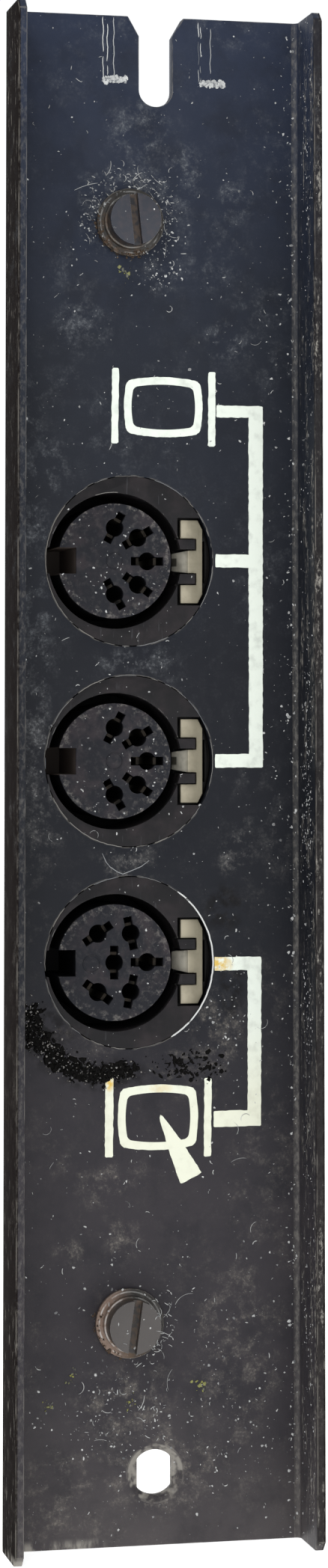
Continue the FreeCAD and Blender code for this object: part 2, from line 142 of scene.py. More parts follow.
class PatchBayColours(bpy.types.PropertyGroup):
    """Colours of the module's finishes."""

    # Painted reflection and light: these five colours run the enamel from bluish at the slotted end
    # to lighter and warmer at the other end
    enamel_top_and_sheen: colour("Enamel, top", "Panel enamel at the slotted end", "293041")
    enamel_upper: colour("Enamel, upper", "Panel enamel above the sockets", "21252e")
    enamel_middle: colour("Enamel, middle", "Panel enamel beside the sockets", "1a1c22")
    enamel_lower: colour("Enamel, lower", "Panel enamel below the sockets", "353236")
    enamel_bottom_and_sheen: colour("Enamel, bottom", "Panel enamel at the other end", "4a4647")
    enamel_side: colour("Enamel, sides", "Outer faces of the flanges", "1a1615")
    bare_edge: colour("Bare edge", "Metal where the enamel has rubbed off", "8b8780")
    haze: colour("Dust haze", "Dry film of dust on the enamel", "6c6f73")
    haze_warm: colour("Dust haze, below", "Warmer film of dust on the lower half", "75706a")
    grease: colour("Grease", "Dark greasy stains beside the lower socket", "0b0a0c")
    ink: colour("Ink", "Printed symbols and lines", "e6ede2")
    ink_warm: colour("Ink, aged", "Warmer tint of the lower symbol", "e4e1c4")
    ink_stain: colour("Ink stain", "Yellowed spots of the print", "d8b65a")
    housing: colour("Socket housing", "Black moulding of the sockets", "1a191b")
    insert: colour("Socket insert", "Dusty dark moulding that holds the contacts", "222328")
    # Painted light: the grey-brown of the keyway floors where they catch the light
    insert_stain: colour("Insert stain", "Brownish stains on the inserts", "4a4143")
    keyway_lit_floor: colour("Keyway", "Grey-brown dust inside the keyways", "7d7068")
    grit: colour("Grit", "Light grit round the contact holes", "9a958f")
    contact: colour("Contacts", "Dusty mouths of the fork contacts", "332e28")
    cover: colour("Rear cover", "Black covers behind the sockets", "1f1e20")
    clip: colour("Earth clip", "Nickel of the earth clips", "a8a08c")
    # Painted light: the tongue's colour, brightened to offset the shade where it turns inward
    clip_tongue_lit: colour("Earth clip, tongue", "Cleaner tongue of the earth clips", "d8d4c6")
    clip_tarnish_and_shade: colour("Earth clip stain", "Tarnish on the earth clips", "666150")
    # Real tarnish, also used as painted shade on the earth clips' bars
    screw: colour("Screw", "Blackened screw heads", "2b2e37")
    # The lower screw's head, lighter and browner than the upper one
    lower_screw_tone: colour("Screw, worn", "The lower screw's head, worn to brown grey", "4a4644")
    # Partly rubbed metal, partly a painted highlight on the screw heads' rims; also the washers'
    # scored rings
    screw_rim: colour("Screw rim", "Bright rim of the screw heads", "c2c1be")
    washer: colour("Washer", "Blackened washers", "2a2724")
    bronze: colour("Washer, worn", "Bronze tint of the lower washer", "a48a7a")
    rust: colour("Rust", "Rust on washers and crumbs", "5c4a3a")
    nut: colour("Nut", "Zinc-plated nuts", "a9a79d")
    laminate: colour("Board", "Paper laminate of the circuit board", "8a6b3c")
    laminate_dark: colour("Board, dark", "Darker fibres of the laminate", "6d5230")
    copper: colour("Copper track", "Lacquered copper tracks", "9a5d2e")
    solder: colour("Solder", "Solder joints", "b9bab6")
    steel: colour("Bracket", "Zinc-plated brackets", "9c9a92")
    rivet: colour("Rivet", "Tinned rivets", "aca79b")
    phenolic: colour("Rear plug", "Brown moulding of the rear plug", "4a2a1c")
    blade: colour("Rear blades", "Silver-plated blades", "b7b3a6")
    dust: colour("Dust", "Dust flecks and fibres", "d2d3d1")
    dust_dark: colour("Dust, dark", "The duller flecks", "5f6062")
    crust: colour("Crust", "Black crust below the lower socket", "0b0a09")
    pollen: colour("Pollen", "Yellow-green specks near the lower hole", "9a9a4c")
    floor: colour("Floor", "Pale floor", "f4f4f4")


class PatchBaySizes(bpy.types.PropertyGroup):
    """Rounded edges, print, solder and tracks."""

    panel_edge: length("Panel edge", "Rounding of the panel's edges", 0.1)
    moulding_edge: length("Moulding edge", "Rounding of moulded edges", 0.1)
    insert_edge: length("Insert edge", "Rounding of the insert's edges and holes", 0.07)
    metal_edge: length("Metal edge", "Rounding of clips, washers and blades", 0.06)
    screw_edge: length("Screw edge", "Rounding of screw heads and nuts", 0.14)
    ink_thickness: length("Ink thickness", "How far the print stands off the panel", 0.03)
    ink_raggedness: length("Ink raggedness", "How far the print's outline wanders", 0.035)
    track_width: length("Track width", "Width of the board's copper tracks", 0.5)
    track_thickness: length("Track thickness", "Thickness of tracks and pads", 0.05)
    pad_radius: length("Pad radius", "Radius of the board's round pads", 0.6)
    solder_radius: length("Solder radius", "Radius of a solder joint at the board", 0.52)


class PatchBayWear(bpy.types.PropertyGroup):
    """How much dust and wear the module shows."""

    flecks: count("Dust flecks", "Flecks scattered over the panel", 520)
    fibres: count("Fibres", "Short fibres lying on the panel", 340)
    corner_flecks: count("Corner flecks", "Flecks gathered along the right fold", 300)
    socket_flecks: count("Socket flecks", "Flecks on each socket", 45)
    crumbs: count("Crumbs", "Lumps of crust below the lower socket", 900)
    haze: share("Haze", "Strength of the dust haze", 0.8)
    edge_wear: share("Edge wear", "How far edges are rubbed bare", 0.36)


class PatchBayStage(bpy.types.PropertyGroup):
    """Camera and lights."""

    lens: FloatProperty(name="Lens", description="Focal length", unit="CAMERA", default=80.3)
    shift: FloatProperty(name="Shift", description="Vertical shift of the frame", default=-0.1663)
    key: FloatProperty(name="Key light", description="Power of the large soft light",
                       unit="POWER", default=1.65)
    fill: FloatProperty(name="Fill light", description="Power of the second soft light",
                        unit="POWER", default=0.8)
    horizon: FloatProperty(name="Horizon", description="Strength of the light near the horizon",
                           default=1.05)
    sky: FloatProperty(name="Overhead", description="Strength of the light overhead", default=0.5)


# Finishes

def sum_with(operation):
    """A Python operator that adds one sum to a material."""
    return lambda self, other: self.finish.math(operation, self, other)


class Value:
    """A number or colour that a material works out, with sums written as in plain Python."""

    __add__ = __radd__ = sum_with("ADD")
    __sub__ = sum_with("SUBTRACT")
    __mul__ = __rmul__ = sum_with("MULTIPLY")
    __truediv__ = sum_with("DIVIDE")
    __pow__ = sum_with("POWER")

    def __init__(self, finish, socket):
        self.finish, self.socket = finish, socket

    def __rsub__(self, other):
        return self.finish.math("SUBTRACT", other, self)

    def __abs__(self):
        return self.finish.math("ABSOLUTE", self)

    def rise(self, low, high):
        """A smooth step that is 0 at low and 1 at high."""
        made = self.finish.node("ShaderNodeMapRange", interpolation_type="SMOOTHSTEP")
        for socket, item in zip(made.inputs, (self, low, high, 0.0, 1.0)):
            self.finish.join(item, socket)
        return Value(self.finish, made.outputs[0])

    def band(self, middle, half, soft):
        """1 within half of the middle, fading out over soft."""
        return abs(self - middle).rise(half + soft, half)


def most(first, *others):
    """The greatest of several values."""
    for other in others:
        first = first.finish.math("MAXIMUM", first, other)
    return first


def mix(amount, first, second):
    """One colour laid over another."""
    made = amount.finish.node("ShaderNodeMix", data_type="RGBA")
    for index, item in ((0, amount), (6, first), (7, second)):
        amount.finish.join(item, made.inputs[index])
    return Value(amount.finish, made.outputs[2])


def layered(base, *layers):
    """Colours laid over a base one after another, each given as how much and what."""
    for amount, tone in layers:
        base = mix(amount, base, tone)
    return base


def dimmed(tone, part):
    """A darker colour."""
    return tuple(part * v for v in tone)


class Finish:
    """Builds one material's nodes. Places are in millimetres of the module's own frame."""

    def __init__(self, name, metallic=0.0, specular=0.5):
        self.material = bpy.data.materials.new(name)
        self.material.use_nodes = True
        self.tree = self.material.node_tree
        self.tree.nodes.clear()
        self.link = self.tree.links.new
        self.shader = self.node("ShaderNodeBsdfPrincipled")
        self.set("Metallic", metallic)
        self.set("Specular IOR Level", specular)
        self.link(self.shader.outputs["BSDF"],
                  self.node("ShaderNodeOutputMaterial").inputs["Surface"])
        place = self.node("ShaderNodeVectorMath", operation="SCALE")
        self.link(self.node("ShaderNodeTexCoord").outputs["Object"], place.inputs[0])
        place.inputs["Scale"].default_value = 1 / MM
        self.place = Value(self, place.outputs[0])
        split = self.node("ShaderNodeSeparateXYZ")
        self.join(self.place, split.inputs[0])
        self.x, self.y, self.z = (Value(self, socket) for socket in split.outputs)

    def node(self, kind, **settings):
        """A new node with its settings."""
        made = self.tree.nodes.new(kind)
        for key, value in settings.items():
            setattr(made, key, value)
        return made

    def join(self, value, socket):
        """Feeds a socket with a value of this material or with a plain one."""
        if isinstance(value, Value):
            self.link(value.socket, socket)
        elif socket.type == "RGBA":
            socket.default_value = (*value, 1.0)
        else:
            socket.default_value = value

    def set(self, name, value):
        """Feeds one input of the shader."""
        self.join(value, self.shader.inputs[name])

    def math(self, operation, *values):
        """The result of one sum."""
        made = self.node("ShaderNodeMath", operation=operation)
        for value, socket in zip(values, made.inputs):
            self.join(value, socket)
        return Value(self, made.outputs[0])

    def spots(self, *places):
        """Oval patches given as x, z and half sizes, 1 in the middle and 0 at the rim."""
        made = []
        for x, z, wide, high in places:
            across, up = (self.x - x) / wide, (self.z - z) / high
            made.append((across * across + up * up).rise(1.0, 0.0))
        return most(*made)

    def radius(self, x, up):
        """Distance from an axis that runs along Y, from the height above it."""
        across = self.x - x
        return self.math("SQRT", across * across + up * up)

    def noise(self, scale, detail=3.0, stretch=(1.0, 1.0, 1.0), offset=0.0, coarse=0.55):
        """Cloudy variation with so many cycles a millimetre."""
        shaped = self.node("ShaderNodeVectorMath", operation="MULTIPLY_ADD")
        shifted = (offset, offset * 1.7, offset * 0.6)
        for value, socket in zip((self.place, stretch, shifted), shaped.inputs):
            self.join(value, socket)
        made = self.node("ShaderNodeTexNoise")
        self.link(shaped.outputs[0], made.inputs["Vector"])
        for name, value in (("Scale", scale), ("Detail", detail), ("Roughness", coarse)):
            made.inputs[name].default_value = value
        return Value(self, made.outputs["Fac"])

    def specks(self, scale, portion, size):
        """Round specks in a portion of the cells of a grid."""
        made = self.node("ShaderNodeTexVoronoi")
        self.join(self.place, made.inputs["Vector"])
        made.inputs["Scale"].default_value = scale
        pick = self.node("ShaderNodeSeparateColor")
        self.link(made.outputs["Color"], pick.inputs[0])
        draw, reach = Value(self, pick.outputs[0]), Value(self, pick.outputs[1])
        near = Value(self, made.outputs["Distance"]).rise(reach * size, 0.0)
        return near ** 0.5 * self.math("GREATER_THAN", draw, 1.0 - portion)

    def ramp(self, value, *stops):
        """Colours placed along a value from 0 to 1."""
        made = self.node("ShaderNodeValToRGB")
        self.join(value, made.inputs[0])
        elements = made.color_ramp.elements
        while len(elements) < len(stops):
            elements.new(0.5)
        for element, (place, tone) in zip(elements, stops):
            element.position = place
            element.color = (*tone, 1.0)
        return Value(self, made.outputs[0])

    def edges(self):
        """1 on rounded edges and 0 elsewhere."""
        mark = self.node("ShaderNodeAttribute", attribute_name=EDGE_MARK)
        return Value(self, mark.outputs["Fac"])

    def chance(self):
        """A value of its own for each loose fleck of a mesh."""
        return Value(self, self.node("ShaderNodeNewGeometry").outputs["Random Per Island"])

    def done(self, tone, roughness, height, relief):
        """Feeds the shader and gives the material. The relief is in millimetres."""
        bump = self.node("ShaderNodeBump")
        bump.inputs["Strength"].default_value = 1.0
        bump.inputs["Distance"].default_value = relief * MM
        self.join(height, bump.inputs["Height"])
        self.set("Base Color", tone)
        self.set("Roughness", roughness)
        self.set("Normal", Value(self, bump.outputs[0]))
        return self.material


def socket_local_z(finish):
    """Height above the nearest socket's axis, in millimetres."""
    middle = SOCKET_Z["middle"]
    half = (SOCKET_Z["upper"] - middle) / 2
    return finish.math("WRAP", finish.z, middle + half, middle - half) - middle


def enamel_ground_and_sheen(finish, colours):
    """The panel's colour: the enamel's blue-black with a painted reflection, bluish at the slotted
    end and lighter and warmer at the other.
    """
    down = (PANEL_HIGH.z - finish.z) / (PANEL_HIGH.z - PANEL_LOW.z)
    # painted reflection: bluish towards the slotted end, lighter and warmer towards the other
    ground = finish.ramp(down + (finish.noise(0.05, 2.0) * 0.2 - 0.1), (0.0, colours.enamel_top_and_sheen),
                         (0.24, colours.enamel_upper), (0.45, colours.enamel_middle),
                         (0.62, colours.enamel_middle), (0.76, colours.enamel_lower),
                         (0.9, colours.enamel_lower), (1.0, colours.enamel_bottom_and_sheen))
    cloud = finish.noise(0.22, 5.0, offset=3.0, coarse=0.65).rise(0.4, 0.72)
    ground = mix(cloud * 0.4, ground, colours.enamel_middle)
    right_tip = finish.y.rise(-8.0, -8.4) * finish.x.rise(0.0, 1.0)
    ground = mix(right_tip * 0.8, ground, colours.enamel_side)
    side = abs(finish.x).rise(15.9, 16.1)
    return mix(side, ground, colours.enamel_side), side


def enamel_stains(finish, colours, ground):
    """Greasy dark patches to the right of the lower socket and round the crust."""
    z = SOCKET_Z["lower"]
    patches = finish.spots((7.2, z + 5.6, 3.0, 3.2), (8.0, z - 2.6, 1.7, 4.6),
                           (-11.6, z - 7.6, 3.6, 4.4), (-5.6, z - 11.6, 6.0, 2.2))
    ragged = finish.noise(0.8, 4.0, offset=9.0).rise(0.38, 0.6)
    return mix(patches * ragged * 0.9, ground, colours.grease)


def enamel_haze(finish):
    """How strongly a film of dust dulls each place of the panel."""
    places = finish.spots(
        (-3.6, UPPER_SCREW_Z + 2.0, 6.0, 6.5), (0.4, 52.4, 2.4, 2.6), (-2.0, 67.5, 4.6, 4.0),
        (2.8, 63.0, 3.2, 4.5), (8.4, 60.5, 2.6, 3.0), (7.4, 45.8, 2.6, 3.0), (-8.0, 47.0, 4.0, 3.4),
        (-11.6, 32.0, 2.4, 3.4), (-3.2, -9.6, 4.4, 2.6), (8.6, -9.0, 2.6, 3.2),
        (-2.6, 11.6, 5.0, 1.6), (-12.0, -4.0, 2.4, 8.0), (-5.0, -43.0, 3.0, 2.6),
        (-3.4, -48.4, 2.8, 2.6), (-9.5, -49.6, 2.0, 1.8), (1.6, -30.6, 3.0, 1.8),
        (-3.6, -66.0, 7.0, 5.0), (-10.0, -75.0, 7.0, 6.0), (-13.0, 14.0, 2.0, 34.0),
        (6.6, -27.5, 3.2, 5.4), (8.5, -60.0, 6.0, 12.0), (FIXING_X, FIXING_HOLE_Z, 9.0, 6.0))
    film = finish.noise(0.45, 6.0, offset=5.0, coarse=0.75).rise(0.44, 0.66)
    dots = finish.noise(2.6, 5.0, offset=12.0, coarse=0.8).rise(0.47, 0.62)
    general = finish.noise(0.12, 4.0, offset=7.0, coarse=0.65).rise(0.48, 0.64)
    return film * (dots * 0.75 + 0.25) * (places + (general * 0.4 + 0.08))


def enamel_rubbed_and_highlit(finish, side, wear):
    """Where the enamel is lightened: rubbed through at edges and the fixing holes, a painted
    highlight along the fold line, and light lines at the flange tips that are partly wear and
    partly a painted highlight.
    """
    x, y, z = finish.x, finish.y, finish.z
    patchy = finish.noise(0.9, 4.0, (1.0, 1.0, 0.4), 2.0).rise(0.42, 0.62)
    fine = finish.noise(2.4, 4.0, (1.0, 1.0, 0.5), 6.0, 0.7).rise(0.45, 0.65)
    chips = finish.noise(1.3, 5.0, (1.0, 1.0, 0.3), 4.0, 0.75).rise(0.57, 0.66)
    scuffs = finish.noise(0.5, 6.0, (1.0, 1.4, 0.22), 15.0, 0.8).rise(0.5, 0.6)
    rings = finish.noise(0.7, 2.0, offset=8.0).rise(0.42, 0.56)
    # painted highlight: a faint light line along the right flange's inner fillet
    fold = x.band(14.95, 0.22, 0.12) * (fine * 0.3 + 0.1)
    # partly wear, partly a painted highlight: light lines on the flanges' front tips
    tip = y.rise(-8.1, -8.45) * fine * (x.rise(0.0, -1.0) * 0.12 + 0.04)
    inner = x.rise(15.2, 15.28) * y.rise(-1.9, -2.6) * (1.0 - side)
    worn_end = z.rise(-78.8, -79.7) * x.rise(-5.0, -7.0)
    bore = finish.radius(FIXING_X, FIXING_HOLE_Z - z).rise(3.05, 2.85) * rings
    ends = most(z.rise(-30.0, -60.0), z.rise(20.0, 60.0))
    return most(finish.edges() * patchy * wear.edge_wear, fold, tip,
                chips * side * (ends * 0.4 + 0.1), bore, inner * scuffs * fine, worn_end * patchy)


def enamel_finish(colours, wear):
    """Satin blue-black enamel, dusty and scratched, with rubbed edges, a painted reflection from
    end to end and painted highlights along the fold and the flange tips.
    """
    finish = Finish("panel_enamel")
    ground, side = enamel_ground_and_sheen(finish, colours)
    finish.set("Specular IOR Level", side * -0.12 + 0.14)
    haze = enamel_haze(finish)
    film = mix(finish.z.rise(20.0, -30.0), colours.haze, colours.haze_warm)
    tone = mix(haze * wear.haze, enamel_stains(finish, colours, ground), film)
    small = most(finish.specks(0.9, 0.16, 0.12), finish.specks(2.3, 0.14, 0.2))
    tone = mix(small * (side * -0.4 + 0.5), tone, colours.dust)
    # bare metal where rubbed, plus the painted highlights along the fillet and the flange tips
    rubbed = enamel_rubbed_and_highlit(finish, side, wear)
    grain = finish.noise(5.0, 3.0, offset=1.0)
    rough = side * 0.45 + (haze * 0.35 + (grain * 0.16 + 0.36))
    return finish.done(mix(rubbed, tone, colours.bare_edge), rough, grain + rubbed * -0.6, 0.012)


def ink_finish(colours):
    """Screen-printed ink with pinholes and yellowed spots."""
    finish = Finish("print_ink", specular=0.3)
    tone = mix(finish.noise(0.9, 4.0).rise(0.45, 0.8), colours.ink, dimmed(colours.ink, 0.78))
    tone = mix(finish.z.rise(-24.0, -36.0) * 0.5, tone, colours.ink_warm)
    stain = most(finish.spots((6.5, -20.2, 1.9, 1.4), (-5.1, -32.3, 0.6, 1.1)),
                 finish.spots((0.4, -33.0, 1.6, 0.7)) * 0.35)
    tone = mix(stain * finish.noise(1.6, 3.0).rise(0.3, 0.6), tone, colours.ink_stain)
    pits = finish.specks(1.6, 0.14, 0.18)
    tone = mix(pits * 0.6, tone, colours.dust_dark)
    return finish.done(tone, pits * 0.2 + 0.55, finish.noise(3.0, 3.0), 0.01)


def keyway_glow(finish):
    """Where the brown floor of the upper and middle sockets' keyways catches the light."""
    inside = (finish.x.rise(AXIS_X - 3.9, AXIS_X - 4.2) * abs(socket_local_z(finish)).rise(1.5, 1.4)
              * finish.y.rise(INSERT_Y + 0.1, INSERT_Y + 0.5))
    return inside * finish.z.rise(-9.5, -8.5)


def moulding_finish(name, tone, colours, scratched=0.35):
    """Satin black moulding with a dry bloom, fine scratches and rubbed edges."""
    finish = Finish(name, specular=0.16)
    bloom = finish.noise(0.35, 4.0, offset=6.0).rise(0.4, 0.75)
    base = mix(bloom * 0.28, tone, colours.insert_stain)
    # painted light on the upper and middle keyway floors
    base = mix(keyway_glow(finish) * 0.45, base, colours.keyway_lit_floor)
    # painted shade: the recess behind the face on the socket's right, by the earth clip, darkened
    # to near black
    pocket_shade = finish.y.band(FACE_Y + 1.25, 0.4, 0.2) * finish.x.rise(AXIS_X + 3.0, AXIS_X + 4.0)
    base = mix(pocket_shade * 0.85, base, colours.crust)
    hairs = finish.noise(3.2, 2.0, stretch=(1.0, 1.0, 0.12)).rise(0.66, 0.72)
    base = mix(hairs * 0.12, base, colours.haze)
    rubbed = finish.edges() * finish.noise(0.8, 3.0).rise(0.36, 0.6) * scratched
    base = layered(base, (rubbed, colours.bare_edge),
                   (finish.specks(1.1, 0.12, 0.16) * 0.5, colours.dust))
    return finish.done(base, bloom * 0.15 + 0.42, finish.noise(4.0, 3.0), 0.008)


def insert_finish(colours):
    """Matt dark moulding, stained, with light grit at its rim and round its holes, and painted
    shade darkening it deeper than its front face.
    """
    finish = Finish("insert_moulding", specular=0.12)
    stained = finish.noise(0.5, 4.0, offset=2.5).rise(0.42, 0.72)
    base = mix(stained * 0.35, colours.insert, colours.insert_stain)
    rim = finish.radius(AXIS_X, socket_local_z(finish)).rise(4.7, 6.0)
    ragged = finish.noise(1.5, 5.0, coarse=0.7).rise(0.48, 0.72)
    right = finish.x.rise(AXIS_X - 1.0, AXIS_X + 4.0)
    settled = ragged * most(rim * 0.5, right * 0.2, finish.edges() * 0.28, 0.06)
    base = layered(base, (settled, colours.grit),
                   (finish.specks(1.4, 0.2, 0.2) * 0.55, colours.dust))
    # painted shade: surfaces deeper than the insert's front face, the walls of its holes and
    # keyways, dimmed to a quarter
    front = finish.y.rise(INSERT_Y + 0.6, INSERT_Y + 0.2)
    base = mix(front, dimmed(colours.insert, 0.25), base)
    # painted light on the upper and middle keyway floors
    base = mix(keyway_glow(finish) * 0.45, base, colours.keyway_lit_floor)
    return finish.done(base, settled * 0.3 + 0.5, finish.noise(2.2, 4.0) + settled, 0.02)


def contact_finish(colours):
    """Contacts that are dusty and dark at the socket's mouth and tinned behind."""
    finish = Finish("contact_tinned", metallic=0.8)
    patches = finish.noise(1.2, 4.0)
    behind = finish.y.rise(FACE_Y + 5.0, FACE_Y + 9.0)
    base = mix(patches.rise(0.4, 0.7), colours.contact, colours.crust)
    base = mix(behind, base, colours.rivet)
    return finish.done(base, behind * -0.3 + 0.68, patches, 0.01)


def clip_finish(colours):
    """Tarnished nickel, with painted shade darkening the bar on its right side, a painted light on
    the tongue, and the arms in the plain nickel.
    """
    finish = Finish("clip_nickel", metallic=0.35, specular=0.4)
    x, level = finish.x, abs(socket_local_z(finish))
    brush = finish.noise(1.6, 4.0, stretch=(1.0, 1.0, 0.25))
    # painted shade: the bar on the clip's right side darkened with the tarnish colour
    base = mix(x.rise(CLIP_EDGE - 2.3, CLIP_EDGE - 0.5) * 0.72, colours.clip, colours.clip_tarnish_and_shade)
    # painted light: the tongue, which turns inward into shade, brightened
    tongue = x.rise(CLIP_EDGE - 1.4, CLIP_EDGE - 1.9) * level.rise(1.4, 1.2)
    base = mix(tongue * 0.75, base, colours.clip_tongue_lit)
    tip = x.band(CLIP_EDGE - 2.65, 0.16, 0.12) * level.rise(0.5, 0.35) * finish.z.rise(-9.0, -8.0)
    base = mix(tip * 0.85, base, colours.crust)
    tarnish = finish.noise(0.8, 5.0, offset=4.0).rise(0.42, 0.7)
    base = mix(tarnish * 0.35, base, colours.clip_tarnish_and_shade)
    return finish.done(base, brush * 0.25 + 0.36, brush, 0.01)


def metal_finish(name, tone, stain, roughness=0.34, brushed=(1.0, 1.0, 1.0), cover=0.5):
    """Plated metal with brushing and patchy tarnish."""
    finish = Finish(name, metallic=1.0)
    brush = finish.noise(2.4, 3.0, stretch=brushed)
    tarnish = finish.noise(0.7, 4.0, offset=4.0).rise(0.4, 0.7)
    base = mix(tarnish * cover, tone, stain)
    base = mix(brush * 0.3, base, dimmed(tone, 0.6))
    return finish.done(base, tarnish * 0.2 + (brush * 0.15 + roughness), brush, 0.008)


def screw_finish(colours):
    """Blackened steel with a bright rim, partly rubbed metal and partly a painted highlight, dust
    specks, and a slot that is darker and rusty towards its bottom.
    """
    finish = Finish("screw_blackened", metallic=0.2)
    fine = finish.noise(1.8, 4.0)
    base = mix(fine.rise(0.4, 0.75) * 0.35, colours.screw, colours.insert_stain)
    # the lower screw's head lighter and browner than the upper
    base = mix(finish.z.rise(0.0, -1.0), base, colours.lower_screw_tone)
    # the bright rim is partly rubbed metal, partly a painted highlight
    rubbed = finish.edges() * finish.noise(0.6, 2.0, offset=1.0).rise(0.3, 0.5)
    base = mix(rubbed, base, colours.screw_rim)
    # darker towards the bottom of the slot
    deep = finish.y.rise(-4.6, -4.1)
    base = layered(base, (deep * 0.5, colours.crust),
                   (deep * finish.noise(1.6, 4.0).rise(0.4, 0.6) * 0.6, colours.rust),
                   (finish.specks(1.7, 0.08, 0.14) * 0.5, colours.dust))
    return finish.done(base, fine * 0.3 + 0.32, fine, 0.012)


def washer_finish(colours):
    """Blackened washer, rusted brown and scored in rings."""
    finish = Finish("washer_rusted", metallic=0.3)
    below = finish.z.rise(0.0, -1.0)
    up = finish.z - (below * (LOWER_SCREW_Z - UPPER_SCREW_Z) + UPPER_SCREW_Z)
    rings = finish.math("SINE", finish.radius(COLUMN_X, up) * 14.0)
    scored = rings.rise(0.1, 0.9) * finish.noise(0.9, 3.0).rise(0.4, 0.6)
    rusty = finish.noise(0.8, 5.0, offset=2.0, coarse=0.7).rise(0.42, 0.62)
    lean = (finish.x + up).rise(COLUMN_X + 1.5, COLUMN_X - 3.5)
    base = mix(rusty * lean * 0.85, colours.washer, colours.rust)
    worn = below * finish.x.rise(COLUMN_X + 0.5, COLUMN_X - 2.2)
    base = layered(base, (worn * (scored * 0.4 + 0.5), colours.bronze),
                   (scored * (worn * 0.5 + 0.3), colours.screw_rim),
                   (finish.edges() * rusty * 0.5, colours.bare_edge))
    return finish.done(base, rusty * 0.3 + 0.4, rusty + scored * 0.5, 0.03)


def laminate_finish(colours):
    """Tan paper laminate with fibres, browned edges and flux marks."""
    finish = Finish("board_laminate", specular=0.4)
    fibres = finish.noise(1.4, 4.0, stretch=(1.0, 1.0, 0.2))
    cloud = finish.noise(0.12, 3.0).rise(0.35, 0.7)
    base = mix(fibres.rise(0.4, 0.7), colours.laminate, colours.laminate_dark)
    base = layered(base, (cloud * 0.4, colours.laminate_dark),
                   (finish.specks(0.5, 0.1, 0.2) * 0.5, colours.dust))
    return finish.done(base, cloud * 0.2 + 0.42, fibres, 0.012)


def solder_finish(colours):
    """Dull tin-lead solder with frosty skin and flux at its foot."""
    finish = Finish("solder", metallic=0.9)
    frost = finish.noise(2.6, 4.0)
    base = mix(frost.rise(0.35, 0.75), colours.solder, dimmed(colours.solder, 0.55))
    base = mix(finish.x.rise(BOARD_FACE + 0.25, BOARD_FACE) * 0.5, base, colours.laminate_dark)
    return finish.done(base, frost * 0.3 + 0.22, frost, 0.02)


def fleck_finish(name, light, dark, specular=0.2):
    """Dry dust: each fleck takes its own grey."""
    finish = Finish(name, specular=specular)
    toss = finish.chance()
    base = mix(toss ** 1.6, light, dark)
    base = mix(finish.noise(4.0, 2.0) * 0.3, base, dark)
    return finish.done(base, toss * 0.2 + 0.7, finish.noise(8.0, 2.0), 0.01)


def floor_finish(colours):
    """Plain pale paper with a trace of mottle, bright enough to read as white."""
    finish = Finish("pale_floor", specular=0.1)
    mottle = finish.noise(0.01, 2.0)
    finish.set("Emission Color", colours.floor)
    finish.set("Emission Strength", 0.85)
    base = mix(mottle * 0.05, colours.floor, dimmed(colours.floor, 0.9))
    return finish.done(base, 0.8, mottle, 0.01)


# Meshes


def piece(name, form, finish, body=MODULE, smooth=True):
    """Turns a bmesh into a finished object that rides on a body."""
    bmesh.ops.recalc_face_normals(form, faces=form.faces)
    mesh = bpy.data.meshes.new(name)
    form.to_mesh(mesh)
    form.free()
    mesh.materials.append(finish)
    made = bpy.data.objects.new(name, mesh)
    bpy.context.scene.collection.objects.link(made)
    if smooth:
        mesh.shade_smooth()
        mesh.set_sharp_from_angle(angle=SHARP_ANGLE)
    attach(made, body)
    return made


def welded(node):
    """A CAD node's mesh with its doubled vertices joined."""
    form = bmesh.new()
    form.from_mesh(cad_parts[node].data)
    bmesh.ops.remove_doubles(form, verts=form.verts, dist=WELD)
    return form


def dressed(node, finish, edge, body=MODULE):
    """A CAD node's shape with its sharp edges rounded, standing in for the node."""
    form = welded(node)
    bmesh.ops.dissolve_limit(form, angle_limit=FLAT_ANGLE, verts=form.verts, edges=form.edges)
    sharp = [e for e in form.edges if len(e.link_faces) == 2
             and e.calc_face_angle(0.0) > SHARP_ANGLE]
    mark = form.faces.layers.float.new(EDGE_MARK)
    made = bmesh.ops.bevel(form, geom=sharp, offset=edge, offset_type="OFFSET", segments=2,
                           profile=0.5, affect="EDGES", clamp_overlap=True)
    for face in made["faces"]:
        face[mark] = 1.0
    copy = piece(node + "_finished", form, finish, body)
    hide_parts(node)


def coat(node, finish):
    """Gives a CAD node that stays its finish."""
    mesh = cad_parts[node].data
    mesh.materials.clear()
    mesh.materials.append(finish)


def ring_of(form, points):
    """New vertices at points given in millimetres."""
    return [form.verts.new(Vector(point) * MM) for point in points]


def compass(steps):
    """Cosine and sine at equal steps round a circle."""
    return [(math.cos(math.tau * k / steps), math.sin(math.tau * k / steps)) for k in range(steps)]


def skin(form, rings, closed_ends=True):
    """Joins rings of vertices into a tube."""
    for first, second in zip(rings, rings[1:]):
        size = len(first)
        for i in range(size):
            j = (i + 1) % size
            form.faces.new((first[i], first[j], second[j], second[i]))
    if closed_ends:
        form.faces.new(rings[0])
        form.faces.new(rings[-1])


def slab(form, outline, front, back):
    """A flat plate of the front face with the outline given as x and z."""
    skin(form, [ring_of(form, [(x, y, z) for x, z in outline]) for y in (front, back)])


def frame_slab(form, outer, inner, front, back):
    """A flat plate with a hole, from two outlines of equal length."""
    loops = [ring_of(form, [(x, y, z) for x, z in line])
             for line, y in ((outer, front), (outer, back), (inner, back), (inner, front))]
    skin(form, loops + loops[:1], closed_ends=False)


def divided(points, step):
    """A closed outline with more points along its sides."""
    made = []
    for (x0, z0), (x1, z1) in zip(points, points[1:] + points[:1]):
        parts = max(1, round(math.hypot(x1 - x0, z1 - z0) / step))
        made += [(x0 + (x1 - x0) * i / parts, z0 + (z1 - z0) * i / parts) for i in range(parts)]
    return made


def bar(left, low, right, high, lean=0.0, corner=0.12):
    """An upright bar with cut corners; lean moves its top to the side."""
    return [(left, low + corner), (left + corner, low),
            (right - corner, low), (right, low + corner),
            (right + lean, high - corner), (right + lean - corner, high),
            (left + lean + corner, high), (left + lean, high - corner)]


